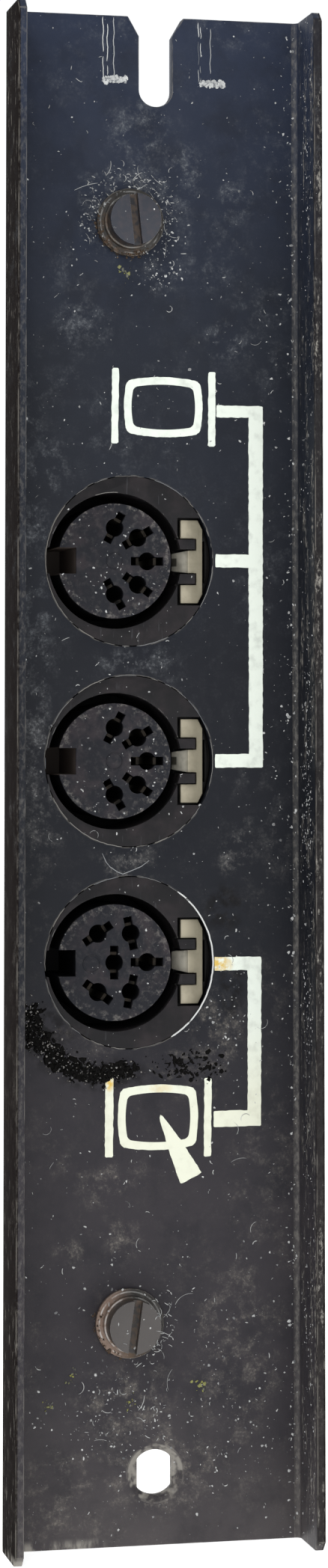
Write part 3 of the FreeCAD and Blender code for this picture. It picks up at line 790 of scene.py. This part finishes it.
def barrel(left, low, right, high, bulge_x, bulge_z, corner):
    """A rounded rectangle whose sides bulge, like a picture tube's face."""
    centre_x, centre_z = (left + right) / 2, (low + high) / 2
    half_x, half_z = (right - left) / 2 - bulge_x, (high - low) / 2 - bulge_z
    made = []
    for quarter, (sx, sz) in enumerate(((1, 1), (-1, 1), (-1, -1), (1, -1))):
        for i in range(7):
            turn = (quarter + i / 6) * math.pi / 2
            made.append((sx * (half_x - corner) + corner * math.cos(turn),
                         sz * (half_z - corner) + corner * math.sin(turn)))
    return [(centre_x + x + math.copysign(bulge_x, x) * max(0.0, 1 - (z / half_z) ** 2)
             * min(1.0, abs(x) / half_x) ** 4,
             centre_z + z + math.copysign(bulge_z, z) * max(0.0, 1 - (x / half_x) ** 2)
             * min(1.0, abs(z) / half_z) ** 4) for x, z in divided(made, 0.35)]


def fleck(form, place, normal, size, height, dice):
    """One irregular speck lying on a surface, its underside just below it."""
    side = normal.orthogonal().normalized()
    up = normal.cross(side)
    corners = dice.randint(5, 7)
    start = dice.uniform(0, math.tau)
    squeeze = dice.uniform(0.28, 1.0)
    turned = dice.uniform(0, math.pi)
    side, up = (side * math.cos(turned) + up * math.sin(turned),
                up * math.cos(turned) - side * math.sin(turned))
    rim = []
    for i in range(corners):
        turn = start + math.tau * i / corners
        reach = size * dice.uniform(0.5, 1.25)
        rim.append(place + side * (math.cos(turn) * reach)
                   + up * (math.sin(turn) * reach * squeeze) - normal * FLECK_SINK)
    low = ring_of(form, rim)
    middle = sum(rim, Vector()) / corners
    high = ring_of(form, [middle + (p - middle) * 0.6
                          + normal * (FLECK_SINK + height * dice.uniform(0.6, 1)) for p in rim])
    skin(form, [low, high])


def strand(form, points, radius, sides=5):
    """A thin closed tube along points, in millimetres."""
    rings = []
    for i, point in enumerate(points):
        ahead = (points[min(i + 1, len(points) - 1)] - points[max(i - 1, 0)]).normalized()
        side = ahead.orthogonal().normalized()
        up = ahead.cross(side)
        thin = radius * (0.45 if i in (0, len(points) - 1) else 1.0)
        rings.append(ring_of(form, [point + (side * cos + up * sin) * thin
                                    for cos, sin in compass(sides)]))
    skin(form, rings)


def lathe(form, profile, y, z, steps=14):
    """A turned shape about an axis along X: profile gives x and radius."""
    skin(form, [ring_of(form, [(x, y + radius * cos, z + radius * sin)
                               for cos, sin in compass(steps)]) for x, radius in profile])


def loose_parts(node):
    """The points of each loose part of a node, in millimetres."""
    form = welded(node)
    found, seen = [], set()
    for start in form.verts:
        if start.index in seen:
            continue
        seen.add(start.index)
        queue, part = [start], []
        while queue:
            vert = queue.pop()
            part.append(vert.co / MM)
            for edge in vert.link_edges:
                other = edge.other_vert(vert)
                if other.index not in seen:
                    seen.add(other.index)
                    queue.append(other)
        found.append(part)
    form.free()
    return found


def tails(node):
    """Where each loose part of a node comes through the board, as y and z."""
    made = []
    for part in loose_parts(node):
        ends = [p for p in part if p.x > TAIL_END - 0.05]
        made.append((sum(p.y for p in ends) / len(ends), sum(p.z for p in ends) / len(ends)))
    return made


class Dust:
    """Lays specks, fibres and lines of dust on the module, at places found along lines of sight."""

    def __init__(self, seed):
        self.dice = random.Random(seed)
        self.trees = {name: BVHTree.FromPolygons([v.co / MM for v in node.data.vertices],
                                                 [p.vertices[:] for p in node.data.polygons])
                      for name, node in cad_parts.items()}

    def meet(self, start, direction):
        """The nearest hit as place, normal and node name, or None."""
        best = None
        for name, tree in self.trees.items():
            place, normal, _, reach = tree.ray_cast(Vector(start), Vector(direction))
            if place is not None and (best is None or reach < best[0]):
                best = (reach, place, normal, name)
        return best[1:] if best else None

    def front(self, x, z):
        """The hit seen from the front, where it is level, inside the channel and not on a clip."""
        hit = self.meet((x, FLANGE_TIP_Y - 5, z), (0, 1, 0))
        if hit is None or "earth_clip" in hit[2] or hit[1].y > -FACING:
            return None
        return hit if FLANGE_TIP_Y + 1 < hit[0].y < DEEPEST_DUST_Y else None

    def right_flange(self, y, z):
        """The hit on the right flange's inner face."""
        hit = self.meet((PANEL_HIGH.x - 3, y, z), (1, 0, 0))
        return hit if hit and hit[2] == "channel_panel" and hit[1].x < -FACING else None

    def scatter(self, form, number, pick, size, height, look=None):
        """Lays flecks at places that pick gives, on the face that look finds there."""
        for _ in range(number):
            hit = (look or self.front)(*pick())
            if hit:
                fleck(form, hit[0], hit[1], size * self.dice.uniform(0.3, 1.15) ** 2.2 + 0.03,
                      height * self.dice.uniform(0.4, 1.0), self.dice)

    def around(self, x, z, wide, high):
        """A picker of places clustered round a middle."""
        return lambda: (self.dice.gauss(x, wide / 2), self.dice.gauss(z, high / 2))

    def over(self, left, low, right, high):
        """A picker of places spread over a rectangle."""
        return lambda: (self.dice.uniform(left, right), self.dice.uniform(low, high))

    def along(self, points, spread):
        """A picker of places spread about a line through points."""
        def pick():
            i = self.dice.randrange(len(points) - 1)
            (x0, z0), (x1, z1) = points[i], points[i + 1]
            t = self.dice.random()
            return (x0 + (x1 - x0) * t + self.dice.gauss(0, spread),
                    z0 + (z1 - z0) * t + self.dice.gauss(0, spread))
        return pick

    def broken_line(self, form, points, y, radius, gaps):
        """Short strands along a line, left out here and there."""
        run, dice = [], self.dice
        for x, z in points:
            if dice.random() < gaps:
                if len(run) > 1:
                    strand(form, run, radius * dice.uniform(0.5, 1.1), 4)
                run = []
            else:
                across, up = dice.uniform(-SHAKE, SHAKE), dice.uniform(-SHAKE, SHAKE)
                run.append(Vector((x + across, y, z + up)))
        if len(run) > 1:
            strand(form, run, radius, 4)


def arc(x, z, radius, start, end, step):
    """Points on an arc of the front face, with angles in degrees."""
    number = max(2, round(abs(end - start) / step))
    turns = [math.radians(start + (end - start) * i / number) for i in range(number + 1)]
    return [(x + radius * math.cos(turn), z + radius * math.sin(turn)) for turn in turns]


# Operators, one for each piece or group of like pieces

class Step:
    """Reads the settings, then runs the operator's own build."""

    def execute(self, context):
        self.scene = context.scene
        self.colours, self.sizes = self.scene.patch_bay_colours, self.scene.patch_bay_sizes
        self.wear, self.stage = self.scene.patch_bay_wear, self.scene.patch_bay_stage
        self.build()
        return {"FINISHED"}


class PATCHBAY_OT_channel_panel(Step, bpy.types.Operator):
    """Folded panel with flanges, slot and fixing hole, in worn enamel"""

    bl_idname = "patch_bay.channel_panel"
    bl_label = "Channel panel"

    def build(self):
        finish = enamel_finish(self.colours, self.wear)
        dressed("channel_panel", finish, self.sizes.panel_edge)


class PATCHBAY_OT_printed_symbols(Step, bpy.types.Operator):
    """Two display symbols and the lines that link them to their sockets"""

    bl_idname = "patch_bay.printed_symbols"
    bl_label = "Printed symbols"

    def build(self):
        finish = ink_finish(self.colours)
        self.dice = random.Random(11)
        self.wander = self.sizes.ink_raggedness / MM
        self.front = FACE_Y - self.sizes.ink_thickness / MM
        upper, lower = bmesh.new(), bmesh.new()
        self.screen(upper, (-3.6, 35.22, 4.88, 41.6), 0.8)
        self.shape(upper, bar(-4.98, 34.47, -4.24, 42.44, 0.1))
        self.shape(upper, bar(5.48, 34.34, 6.26, 42.28, 0.04))
        self.screen(lower, (-4.21, -39.4, 4.35, -32.61), 0.82)
        self.shape(lower, bar(-5.59, -40.01, -4.72, -31.81, 0.04))
        self.shape(lower, bar(4.98, -40.21, 5.76, -32.03, 0.06))
        self.shape(lower, [(0.3, -35.78), (0.5, -35.85), (2.5, -38.4), (4.73, -41.8),
                           (4.6, -41.95), (2.62, -42.94), (2.42, -42.86), (1.15, -39.2),
                           (0.22, -36.1)], 0.012)
        piece("upper_display_symbol", upper, finish)
        piece("lower_display_symbol", lower, finish)
        link = bmesh.new()
        self.link(link, 9.9, 11.4, ((6.41, 37.46, 38.72), (6.29, 21.52, 22.91), (6.23, 0.4, 1.83)))
        piece("upper_link_line", link, finish)
        link = bmesh.new()
        self.link(link, 9.72, 11.15, ((6.13, -20.86, -19.46), (6.04, -37.16, -35.48)))
        piece("lower_link_line", link, finish)

    def shape(self, form, outline, lift=0.0):
        """One printed shape."""
        move = self.wander
        ragged = [(x + self.dice.uniform(-move, move), z + self.dice.uniform(-move, move))
                  for x, z in divided(outline, 0.4)]
        slab(form, ragged, self.front - lift, FACE_Y + 0.01)

    def screen(self, form, corners, line):
        """A picture tube's outline."""
        left, low, right, high = corners
        outer = barrel(left, low, right, high, 0.3, 0.42, 0.5)
        inner = [(left + line, low + line), (right - line, high - line)]
        centre = ((left + right) / 2, (low + high) / 2)
        wide = (inner[1][0] - inner[0][0]) / (right - left)
        tall = (inner[1][1] - inner[0][1]) / (high - low)
        inner = [(centre[0] + (x - centre[0]) * wide, centre[1] + (z - centre[1]) * tall)
                 for x, z in outer]
        jitter = [(self.dice.uniform(-1, 1), self.dice.uniform(-1, 1)) for _ in outer]
        amount = self.wander * 0.7
        outer = [(x + a * amount, z + b * amount) for (x, z), (a, b) in zip(outer, jitter)]
        frame_slab(form, outer, inner, self.front, FACE_Y + 0.01)

    def link(self, form, left, right, arms):
        """An upright line with arms to the left, one outline."""
        arms = sorted(arms, key=lambda arm: -arm[1])
        bottom, top = arms[-1][1], arms[0][2]
        outline = [(right - 0.1, bottom), (right, bottom + 0.1), (right + 0.06, top - 0.1),
                   (right - 0.04, top)]
        for i, (start, arm_low, arm_high) in enumerate(arms):
            if i:
                outline.append((left, arm_high))
            outline += [(start + 0.06, arm_high), (start, arm_high - 0.08), (start, arm_low + 0.08),
                        (start + 0.06, arm_low)]
            if i < len(arms) - 1:
                outline.append((left, arm_low))
        self.shape(form, outline)


class PATCHBAY_OT_socket_housings(Step, bpy.types.Operator):
    """Black housings of the three sockets and the covers behind them"""

    bl_idname = "patch_bay.socket_housings"
    bl_label = "Socket housings"

    def build(self):
        housing = moulding_finish("housing_moulding", self.colours.housing, self.colours)
        cover = moulding_finish("cover_moulding", self.colours.cover, self.colours, 0.2)
        for name in SOCKETS:
            dressed(name + "_socket_housing", housing, self.sizes.moulding_edge)
            dressed(name + "_socket_cover", cover, self.sizes.moulding_edge * 2)


class PATCHBAY_OT_socket_inserts(Step, bpy.types.Operator):
    """Round inserts with their contact holes and moulded marks"""

    bl_idname = "patch_bay.socket_inserts"
    bl_label = "Socket inserts"

    def build(self):
        finish = insert_finish(self.colours)
        for name in SOCKETS:
            dressed(name + "_socket_insert", finish, self.sizes.insert_edge)
        form = bmesh.new()
        self.mark(form, AXIS_X - 2.4, SOCKET_Z["lower"] - 0.1, 0.88, 0.1)
        for name in ("upper", "middle"):
            self.mark(form, AXIS_X, SOCKET_Z[name], 0.85, 0.06)
        piece("moulded_marks", form, finish)

    def mark(self, form, x, z, radius, width):
        """A low moulded ring."""
        loops = [ring_of(form, [(x + reach * cos, INSERT_Y - lift, z + reach * sin)
                                for cos, sin in compass(28)])
                 for reach, lift in ((radius + width, -0.02), (radius + width * 0.5, 0.06),
                                     (radius - width * 0.5, 0.06), (radius - width, -0.02))]
        skin(form, loops + loops[:1], closed_ends=False)


class PATCHBAY_OT_contacts(Step, bpy.types.Operator):
    """Fork contacts and fixed earth straps"""

    bl_idname = "patch_bay.contacts"
    bl_label = "Contacts"

    def build(self):
        finish = contact_finish(self.colours)
        for name in SOCKETS:
            coat(name + "_socket_contacts", finish)


class PATCHBAY_OT_earth_clips(Step, bpy.types.Operator):
    """Sprung clips that touch a plug's shell"""

    bl_idname = "patch_bay.earth_clips"
    bl_label = "Earth clips"

    def build(self):
        finish = clip_finish(self.colours)
        for name in SOCKETS:
            dressed(name + "_earth_clip", finish, self.sizes.metal_edge,
                    name + "_clip")


class PATCHBAY_OT_panel_fixings(Step, bpy.types.Operator):
    """Slotted screws with their washers and nuts"""

    bl_idname = "patch_bay.panel_fixings"
    bl_label = "Screws, washers and nuts"

    def build(self):
        colours, sizes = self.colours, self.sizes
        dressed("panel_screws", screw_finish(colours), sizes.screw_edge)
        washer = washer_finish(colours)
        for node in ("plain_washers", "spring_washers"):
            dressed(node, washer, sizes.metal_edge)
        dressed("panel_nuts", metal_finish("nut_zinc", colours.nut, colours.washer),
                sizes.screw_edge)


class PATCHBAY_OT_brackets(Step, bpy.types.Operator):
    """Angle brackets between panel and board, with their rivets"""

    bl_idname = "patch_bay.brackets"
    bl_label = "Brackets and rivets"

    def build(self):
        colours = self.colours
        steel = metal_finish("bracket_zinc", colours.steel, colours.washer, 0.38,
                             (1.0, 0.3, 1.0), 0.35)
        rivet = metal_finish("rivet_tinned", colours.rivet, colours.clip_tarnish_and_shade)
        for node in ("upper_bracket", "lower_bracket"):
            dressed(node, steel, self.sizes.metal_edge * 1.5)
        for node in ("bracket_rivets", "plug_rivets"):
            dressed(node, rivet, self.sizes.metal_edge)


class PATCHBAY_OT_circuit_board(Step, bpy.types.Operator):
    """Board with copper tracks, pads and solder joints on its outer face"""

    bl_idname = "patch_bay.circuit_board"
    bl_label = "Circuit board"

    def build(self):
        coat("circuit_board", laminate_finish(self.colours))
        starts = [place for name in SOCKETS for place in tails(name + "_socket_contacts")]
        ends = tails("rear_plug_blades")
        copper = bmesh.new()
        for run in self.routes(starts, ends):
            self.track(copper, run)
        for y, z in starts + ends:
            lathe(copper, self.pad(), y, z)
        lacquered = metal_finish("track_copper", self.colours.copper, self.colours.laminate_dark,
                                 0.36, cover=0.4)
        piece("board_tracks", copper, lacquered)
        solder = bmesh.new()
        dice = random.Random(5)
        foot = self.sizes.solder_radius / MM
        for y, z in starts + ends:
            wide = foot * dice.uniform(0.88, 1.08)
            lathe(solder, [(BOARD_FACE + 0.02, wide * 0.98), (BOARD_FACE + 0.08, wide),
                           (BOARD_FACE + 0.2, wide * 0.78), (BOARD_FACE + 0.38, wide * 0.58),
                           (BOARD_FACE + 0.52, wide * dice.uniform(0.4, 0.48)),
                           (TAIL_END - 0.1, wide * 0.2)], y, z)
        piece("solder_joints", solder, solder_finish(self.colours))

    def pad(self):
        """A round pad's profile."""
        top = BOARD_FACE + self.sizes.track_thickness / MM
        radius = self.sizes.pad_radius / MM
        return [(BOARD_FACE - 0.01, radius), (top, radius), (top + 0.005, radius * 0.6)]

    def lanes(self, starts):
        """Gives each tail a lane of its own across the board, as (tail, lane z) in order of z."""
        groups = {}
        for y, z in sorted(starts):
            groups.setdefault(round(z, 1), []).append((y, z))
        made = []
        for key in sorted(groups):
            *inner, last = groups[key]
            made.append((last, last[1]))
            made += [(tail, tail[1] + (-1.0, 1.0)[i % 2]) for i, tail in enumerate(inner)]
        return sorted(made, key=lambda item: item[1])

    def routes(self, starts, ends):
        """Lines from each socket tail to a blade, in order, so that none cross."""
        rows = sorted(set(round(y, 1) for y, _ in ends))
        columns = sorted(set(round(z, 1) for _, z in ends))
        pitch = columns[1] - columns[0]
        first = (2 * len(columns) - len(starts)) // 2
        for order, ((y, z), lane) in enumerate(self.lanes(starts)):
            target = order + first
            column = columns[target // 2]
            run = [(y, z), (y + abs(lane - z), lane), (BEND_Y, lane)]
            if target % 2:
                gap = column + pitch / 2
                run += [(PLUG_Y, gap), (rows[1] - pitch / 2, gap), (rows[1], column)]
            else:
                run += [(PLUG_Y, column), (rows[0], column)]
            yield run

    def track(self, form, run):
        """One copper strip with mitred corners."""
        half = self.sizes.track_width / MM / 2
        low, top = BOARD_FACE - 0.01, BOARD_FACE + self.sizes.track_thickness / MM
        run = [p for i, p in enumerate(run) if i == 0 or math.dist(p, run[i - 1]) > 0.01]
        rings = []
        for i, (y, z) in enumerate(run):
            before, after = run[max(i - 1, 0)], run[min(i + 1, len(run) - 1)]
            turns = [math.atan2(b[1] - a[1], b[0] - a[0])
                     for a, b in ((before, (y, z)), ((y, z), after)) if a != b]
            middle = sum(turns) / len(turns)
            reach = half / math.cos((turns[-1] - turns[0]) / 2)
            across = (-math.sin(middle) * reach, math.cos(middle) * reach)
            rings.append(ring_of(form, [(x, y + side * across[0], z + side * across[1])
                                        for x, side in ((low, -1), (low, 1), (top, 1), (top, -1))]))
        skin(form, rings)


class PATCHBAY_OT_rear_plug(Step, bpy.types.Operator):
    """Rear plug body with two rows of blades"""

    bl_idname = "patch_bay.rear_plug"
    bl_label = "Rear plug"

    def build(self):
        colours, sizes = self.colours, self.sizes
        dressed("rear_plug_body", moulding_finish("plug_phenolic", colours.phenolic, colours, 0.2),
                sizes.moulding_edge * 2)
        blade = metal_finish("blade_silver", colours.blade, colours.clip_tarnish_and_shade, 0.28,
                             (1.0, 0.2, 1.0))
        dressed("rear_plug_blades", blade, sizes.metal_edge * 2)


class PATCHBAY_OT_dust(Step, bpy.types.Operator):
    """Dust flecks and fibres on panel and sockets"""

    bl_idname = "patch_bay.dust"
    bl_label = "Dust and fibres"

    def build(self):
        dust = Dust(23)
        finish = fleck_finish("dust", self.colours.dust, self.colours.dust_dark)
        form = bmesh.new()
        self.panel_flecks(form, dust)
        for name in SOCKETS:
            dust.scatter(form, self.wear.socket_flecks,
                         dust.around(AXIS_X + 1.6, SOCKET_Z[name], 7.0, 9.0), 0.11, 0.05)
        piece("dust_flecks", form, finish, smooth=False)
        form = bmesh.new()
        self.fibres(form, dust)
        piece("dust_fibres", form, finish)
        form = bmesh.new()
        for x, z in ((-9.0, -62.3), (-11.6, -65.4), (4.56, -63.9), (-2.75, -65.4), (-3.5, 52.6)):
            dust.scatter(form, 14, dust.around(x, z, 0.7, 0.7), 0.2, 0.12)
        piece("pollen_specks", form,
              fleck_finish("pollen", self.colours.pollen, self.colours.dust_dark), smooth=False)

    def panel_flecks(self, form, dust):
        """Flecks over the panel, thicker in the right fold and about the screws and holes."""
        around, over, fold = dust.around, dust.over, self.wear.corner_flecks
        left, right = PANEL_LOW.x + 1.0, PANEL_HIGH.x - 1.0
        low, high = PANEL_LOW.z + 0.5, PANEL_HIGH.z - 0.5
        for number, pick, size in (
                (self.wear.flecks, over(left, low, right, high), 0.13),
                (fold, over(right - 1.1, low, right, high), 0.17),
                (fold // 2, over(right - 3.4, low, right, high), 0.13),
                (fold // 4, over(left, low, left + 1.2, high), 0.15),
                (150, dust.along(arc(COLUMN_X, UPPER_SCREW_Z, 4.6, 20, 200, 15), 0.9), 0.1),
                (60, dust.along(arc(COLUMN_X, UPPER_SCREW_Z, 4.4, -70, 20, 15), 0.6), 0.1),
                (70, around(-4.0, 20.0, 7.0, 8.0), 0.13), (70, around(-4.0, -1.0, 7.0, 8.0), 0.13),
                (60, around(0.3, 52.6, 2.4, 2.2), 0.13), (150, around(-4.0, -66.5, 9.0, 5.0), 0.14),
                (120, around(8.0, -66.0, 7.0, 14.0), 0.13),
                (70, around(7.4, -27.0, 3.0, 8.0), 0.13),
                (60, around(FIXING_X, FIXING_HOLE_Z, 8.0, 6.0), 0.12),
                (60, around(COLUMN_X, LOWER_SCREW_Z, 8.0, 8.0), 0.12)):
            dust.scatter(form, number, pick, size, 0.06)
        for z, number in ((66.0, 50), (34.0, 26), (6.0, 70), (-4.0, 110), (-24.0, 70), (-58.0, 50)):
            dust.scatter(form, number, around(-5.2, z, 2.2, 9.0), 0.17, 0.05, dust.right_flange)
        dust.scatter(form, fold, over(-7.6, low, -2.2, high), 0.12, 0.05, dust.right_flange)

    def fibres(self, form, dust):
        """Short curled fibres lying on the panel."""
        dice = dust.dice
        picks = [dust.over(-13.5, -78, 14.5, 78)] * 3
        picks += [dust.along(arc(COLUMN_X, z, radius, start, end, 12), 0.7)
                  for z, radius, start, end in ((UPPER_SCREW_Z, 4.5, -40, 215),
                                                (UPPER_SCREW_Z, 5.0, 30, 190),
                                                (LOWER_SCREW_Z, 4.3, -80, 40))]
        picks.append(dust.around(-3.0, -66.0, 8.0, 4.0))
        for i in range(self.wear.fibres):
            hit = dust.front(*picks[i % len(picks)]())
            if hit is None or hit[0].y > FACE_Y + 0.05:
                continue
            turn, bend = dice.uniform(0, math.tau), dice.uniform(-0.5, 0.5)
            long = dice.random() < 0.18
            step = dice.uniform(0.14, 0.3) if long else dice.uniform(0.07, 0.16)
            points = [hit[0] + Vector((0, -0.03, 0))]
            for _ in range(dice.randint(5, 9) if long else dice.randint(2, 5)):
                rise = dice.uniform(-0.006, 0.006)
                ahead = Vector((math.cos(turn) * step, rise, math.sin(turn) * step))
                points.append(points[-1] + ahead)
                turn += bend
            strand(form, points, dice.uniform(0.018, 0.035) * (1.0 if long else 1.5))


class PATCHBAY_OT_wear_marks(Step, bpy.types.Operator):
    """Crust, rust crumbs, scrapes and dusty hole edges"""

    bl_idname = "patch_bay.wear_marks"
    bl_label = "Crust, crumbs and scrapes"

    def build(self):
        self.dust = Dust(41)
        for part in (self.crust, self.rust, self.scrapes, self.hole_edges):
            part(self.dust, self.colours)

    def crust(self, dust, colours):
        """A wandering band of black lumps round the lower socket's left and underside."""
        form, crumbs = bmesh.new(), self.wear.crumbs
        band = [(-13.3, -24.6), (-13.4, -27.2), (-11.4, -28.8), (-9.8, -30.6), (-6.6, -31.5),
                (-2.6, -31.0)]
        dust.scatter(form, crumbs, dust.along(band, 0.5), 0.36, 0.22)
        dust.scatter(form, crumbs // 6, dust.around(3.2, -30.8, 4.0, 1.6), 0.26, 0.14)
        piece("socket_crust", form, fleck_finish("crust", colours.crust, colours.crust, 0.08))
        form = bmesh.new()
        dust.scatter(form, crumbs // 3, dust.along(band, 0.8), 0.14, 0.26)
        piece("crust_grit", form, fleck_finish("grit", colours.grit, colours.dust_dark),
              smooth=False)

    def rust(self, dust, colours):
        """Crumbs of rust and dried dirt round the screws and washers."""
        form = bmesh.new()
        for z, number, start, end in ((UPPER_SCREW_Z, 110, 170, 300),
                                      (LOWER_SCREW_Z, 50, 150, 260)):
            ring = arc(COLUMN_X, z, WASHER_RADIUS - 0.1, start, end, 10)
            dust.scatter(form, number, dust.along(ring, 0.2), 0.17, 0.12)
        piece("rust_crumbs", form, fleck_finish("rust", colours.rust, colours.washer))

    def scrapes(self, dust, colours):
        """Straight scrapes beside the slot, the smudges at their ends, and the drip mark."""
        form = bmesh.new()
        for x, low, high, gaps in ((-5.9, 73.3, 79.8, 0.02), (-5.43, 73.6, 79.8, 0.12),
                                   (-4.74, 73.4, 79.8, 0.04), (4.47, 73.0, 79.6, 0.06),
                                   (4.7, 73.2, 79.6, 0.2), (5.77, 73.4, 79.0, 0.05)):
            steps = round((high - low) / SCRAPE_STEP)
            points = [(x + 0.04 * math.sin(i * 0.7), low + (high - low) * i / steps)
                      for i in range(steps + 1)]
            dust.broken_line(form, points, FACE_Y - MARK_LIFT, 0.055, gaps)
        drip = [(-5.88, -8.5), (-5.5, -9.4), (-5.1, -9.9), (-4.3, -10.45), (-3.7, -10.7),
                (-2.8, -10.35), (-1.75, -9.9), (-0.9, -9.3), (-0.2, -8.8)]
        dust.broken_line(form, drip, FACE_Y - MARK_LIFT, 0.07, 0.05)
        for x, z, wide in ((-4.6, 73.1, 1.25), (6.0, 73.05, 1.3)):
            dust.scatter(form, 170, dust.over(x - wide, z - 0.22, x + wide, z + 0.3), 0.26, 0.06)
        piece("scrape_marks", form, fleck_finish("scrape", colours.dust, colours.haze),
              smooth=False)

    def hole_edges(self, dust, colours):
        """Fine dust caught in the gap round each socket's collar."""
        form = bmesh.new()
        for name in SOCKETS:
            points = arc(COLUMN_X, SOCKET_Z[name], COLLAR_RADIUS + 0.02, -170, 190, 2.5)
            dust.broken_line(form, points, FACE_Y + 0.005, 0.05, 0.13)
            points = arc(AXIS_X, SOCKET_Z[name], GROOVE_RADIUS + 0.06, 20, 160, 3)
            dust.broken_line(form, points, FACE_Y + 0.02, 0.03, 0.22)
        piece("collar_edge_dust", form, fleck_finish("edge_dust", colours.bare_edge, colours.haze))
        form = bmesh.new()
        points = arc(COLUMN_X, SOCKET_Z["lower"], COLLAR_RADIUS + 0.03, -60, 55, 2.5)
        dust.broken_line(form, points, FACE_Y - 0.03, 0.1, 0.02)
        piece("lower_collar_dust_line", form, fleck_finish("dust_line", colours.dust, colours.dust))


class PATCHBAY_OT_stage(Step, bpy.types.Operator):
    """Pale floor, soft surroundings, two lights and the camera"""

    bl_idname = "patch_bay.stage"
    bl_label = "Stage"

    def build(self):
        self.floor()
        self.surroundings()
        self.lights()
        camera = bpy.data.cameras.new("camera")
        camera.lens, camera.sensor_width, camera.sensor_fit = self.stage.lens, 36.0, "AUTO"
        camera.shift_y = self.stage.shift
        camera.clip_start, camera.clip_end = 0.01, 20.0
        made = bpy.data.objects.new("camera", camera)
        made.location = Vector((-79.98, -360.83, 4.77)) * MM
        made.rotation_euler = (math.radians(93.319), 0.0, math.radians(-12.657))
        self.scene.collection.objects.link(made)
        self.scene.camera = made
        self.scene.view_settings.view_transform = "Standard"

    def floor(self):
        """A wide plain floor just below the module."""
        form = bmesh.new()
        form.faces.new(ring_of(form, [(x * FLOOR_REACH, y * FLOOR_REACH, PANEL_LOW.z - 0.02)
                                      for x, y in ((-1, -1), (1, -1), (1, 1), (-1, 1))]))
        mesh = bpy.data.meshes.new("floor")
        form.to_mesh(mesh)
        form.free()
        mesh.materials.append(floor_finish(self.colours))
        made = bpy.data.objects.new("floor", mesh)
        self.scene.collection.objects.link(made)

    def surroundings(self):
        """Even light that is white near the horizon and dimmer overhead."""
        world = bpy.data.worlds.new("studio")
        world.use_nodes = True
        self.scene.world = world
        tree = world.node_tree
        split = tree.nodes.new("ShaderNodeSeparateXYZ")
        tree.links.new(tree.nodes.new("ShaderNodeTexCoord").outputs["Generated"], split.inputs[0])
        level = tree.nodes.new("ShaderNodeMath")
        level.operation = "ABSOLUTE"
        tree.links.new(split.outputs[2], level.inputs[0])
        fade = tree.nodes.new("ShaderNodeMapRange")
        for socket, value in zip(fade.inputs[1:], (0.3, 0.55, self.stage.horizon, self.stage.sky)):
            socket.default_value = value
        tree.links.new(level.outputs[0], fade.inputs[0])
        ground = tree.nodes["Background"]
        ground.inputs["Color"].default_value = (0.97, 0.985, 1.0, 1.0)
        tree.links.new(fade.outputs[0], ground.inputs["Strength"])

    def lights(self):
        """Two large soft lights in front."""
        for name, power, size, place, aim in (
                ("key", self.stage.key, 0.5, (-0.35, -0.5, 0.5), (0.0, 0.0, 0.0)),
                ("fill", self.stage.fill, 0.6, (0.5, -0.6, 0.0), (0.0, 0.0, -0.02))):
            light = bpy.data.lights.new(name, "AREA")
            light.energy, light.size, light.shape = power, size, "SQUARE"
            made = bpy.data.objects.new(name, light)
            made.location = place
            made.rotation_euler = (Vector(aim) - Vector(place)).to_track_quat("-Z", "Y").to_euler()
            self.scene.collection.objects.link(made)


STEPS = (PATCHBAY_OT_channel_panel, PATCHBAY_OT_printed_symbols, PATCHBAY_OT_socket_housings,
         PATCHBAY_OT_socket_inserts, PATCHBAY_OT_contacts, PATCHBAY_OT_earth_clips,
         PATCHBAY_OT_panel_fixings, PATCHBAY_OT_brackets, PATCHBAY_OT_circuit_board,
         PATCHBAY_OT_rear_plug, PATCHBAY_OT_dust, PATCHBAY_OT_wear_marks, PATCHBAY_OT_stage)
SETTINGS = {"patch_bay_colours": PatchBayColours, "patch_bay_sizes": PatchBaySizes,
            "patch_bay_wear": PatchBayWear, "patch_bay_stage": PatchBayStage}


class PATCHBAY_PT_sidebar(bpy.types.Panel):
    """Lists the settings and the steps that build the module"""

    bl_label = "Patch bay"
    bl_idname = "PATCHBAY_PT_sidebar"
    bl_space_type = "VIEW_3D"
    bl_region_type = "UI"
    bl_category = "Patch bay"

    def draw(self, context):
        for attribute, group in SETTINGS.items():
            column = self.layout.column(align=True)
            column.label(text=group.bl_rna.name)
            for key in group.__annotations__:
                column.prop(getattr(context.scene, attribute), key)
        for step in STEPS:
            self.layout.operator(step.bl_idname)


CLASSES = (*SETTINGS.values(), *STEPS, PATCHBAY_PT_sidebar)


def register():
    """Registers the classes and hangs the settings on the scene."""
    for item in CLASSES:
        bpy.utils.register_class(item)
    for attribute, group in SETTINGS.items():
        setattr(bpy.types.Scene, attribute, PointerProperty(type=group))


def unregister():
    """Undoes register."""
    for attribute in SETTINGS:
        delattr(bpy.types.Scene, attribute)
    for item in reversed(CLASSES):
        bpy.utils.unregister_class(item)


def main():
    """Builds everything in order."""
    register()
    for step in STEPS:
        group, name = step.bl_idname.split(".")
        getattr(getattr(bpy.ops, group), name)()


if __name__ == "__main__":
    main()
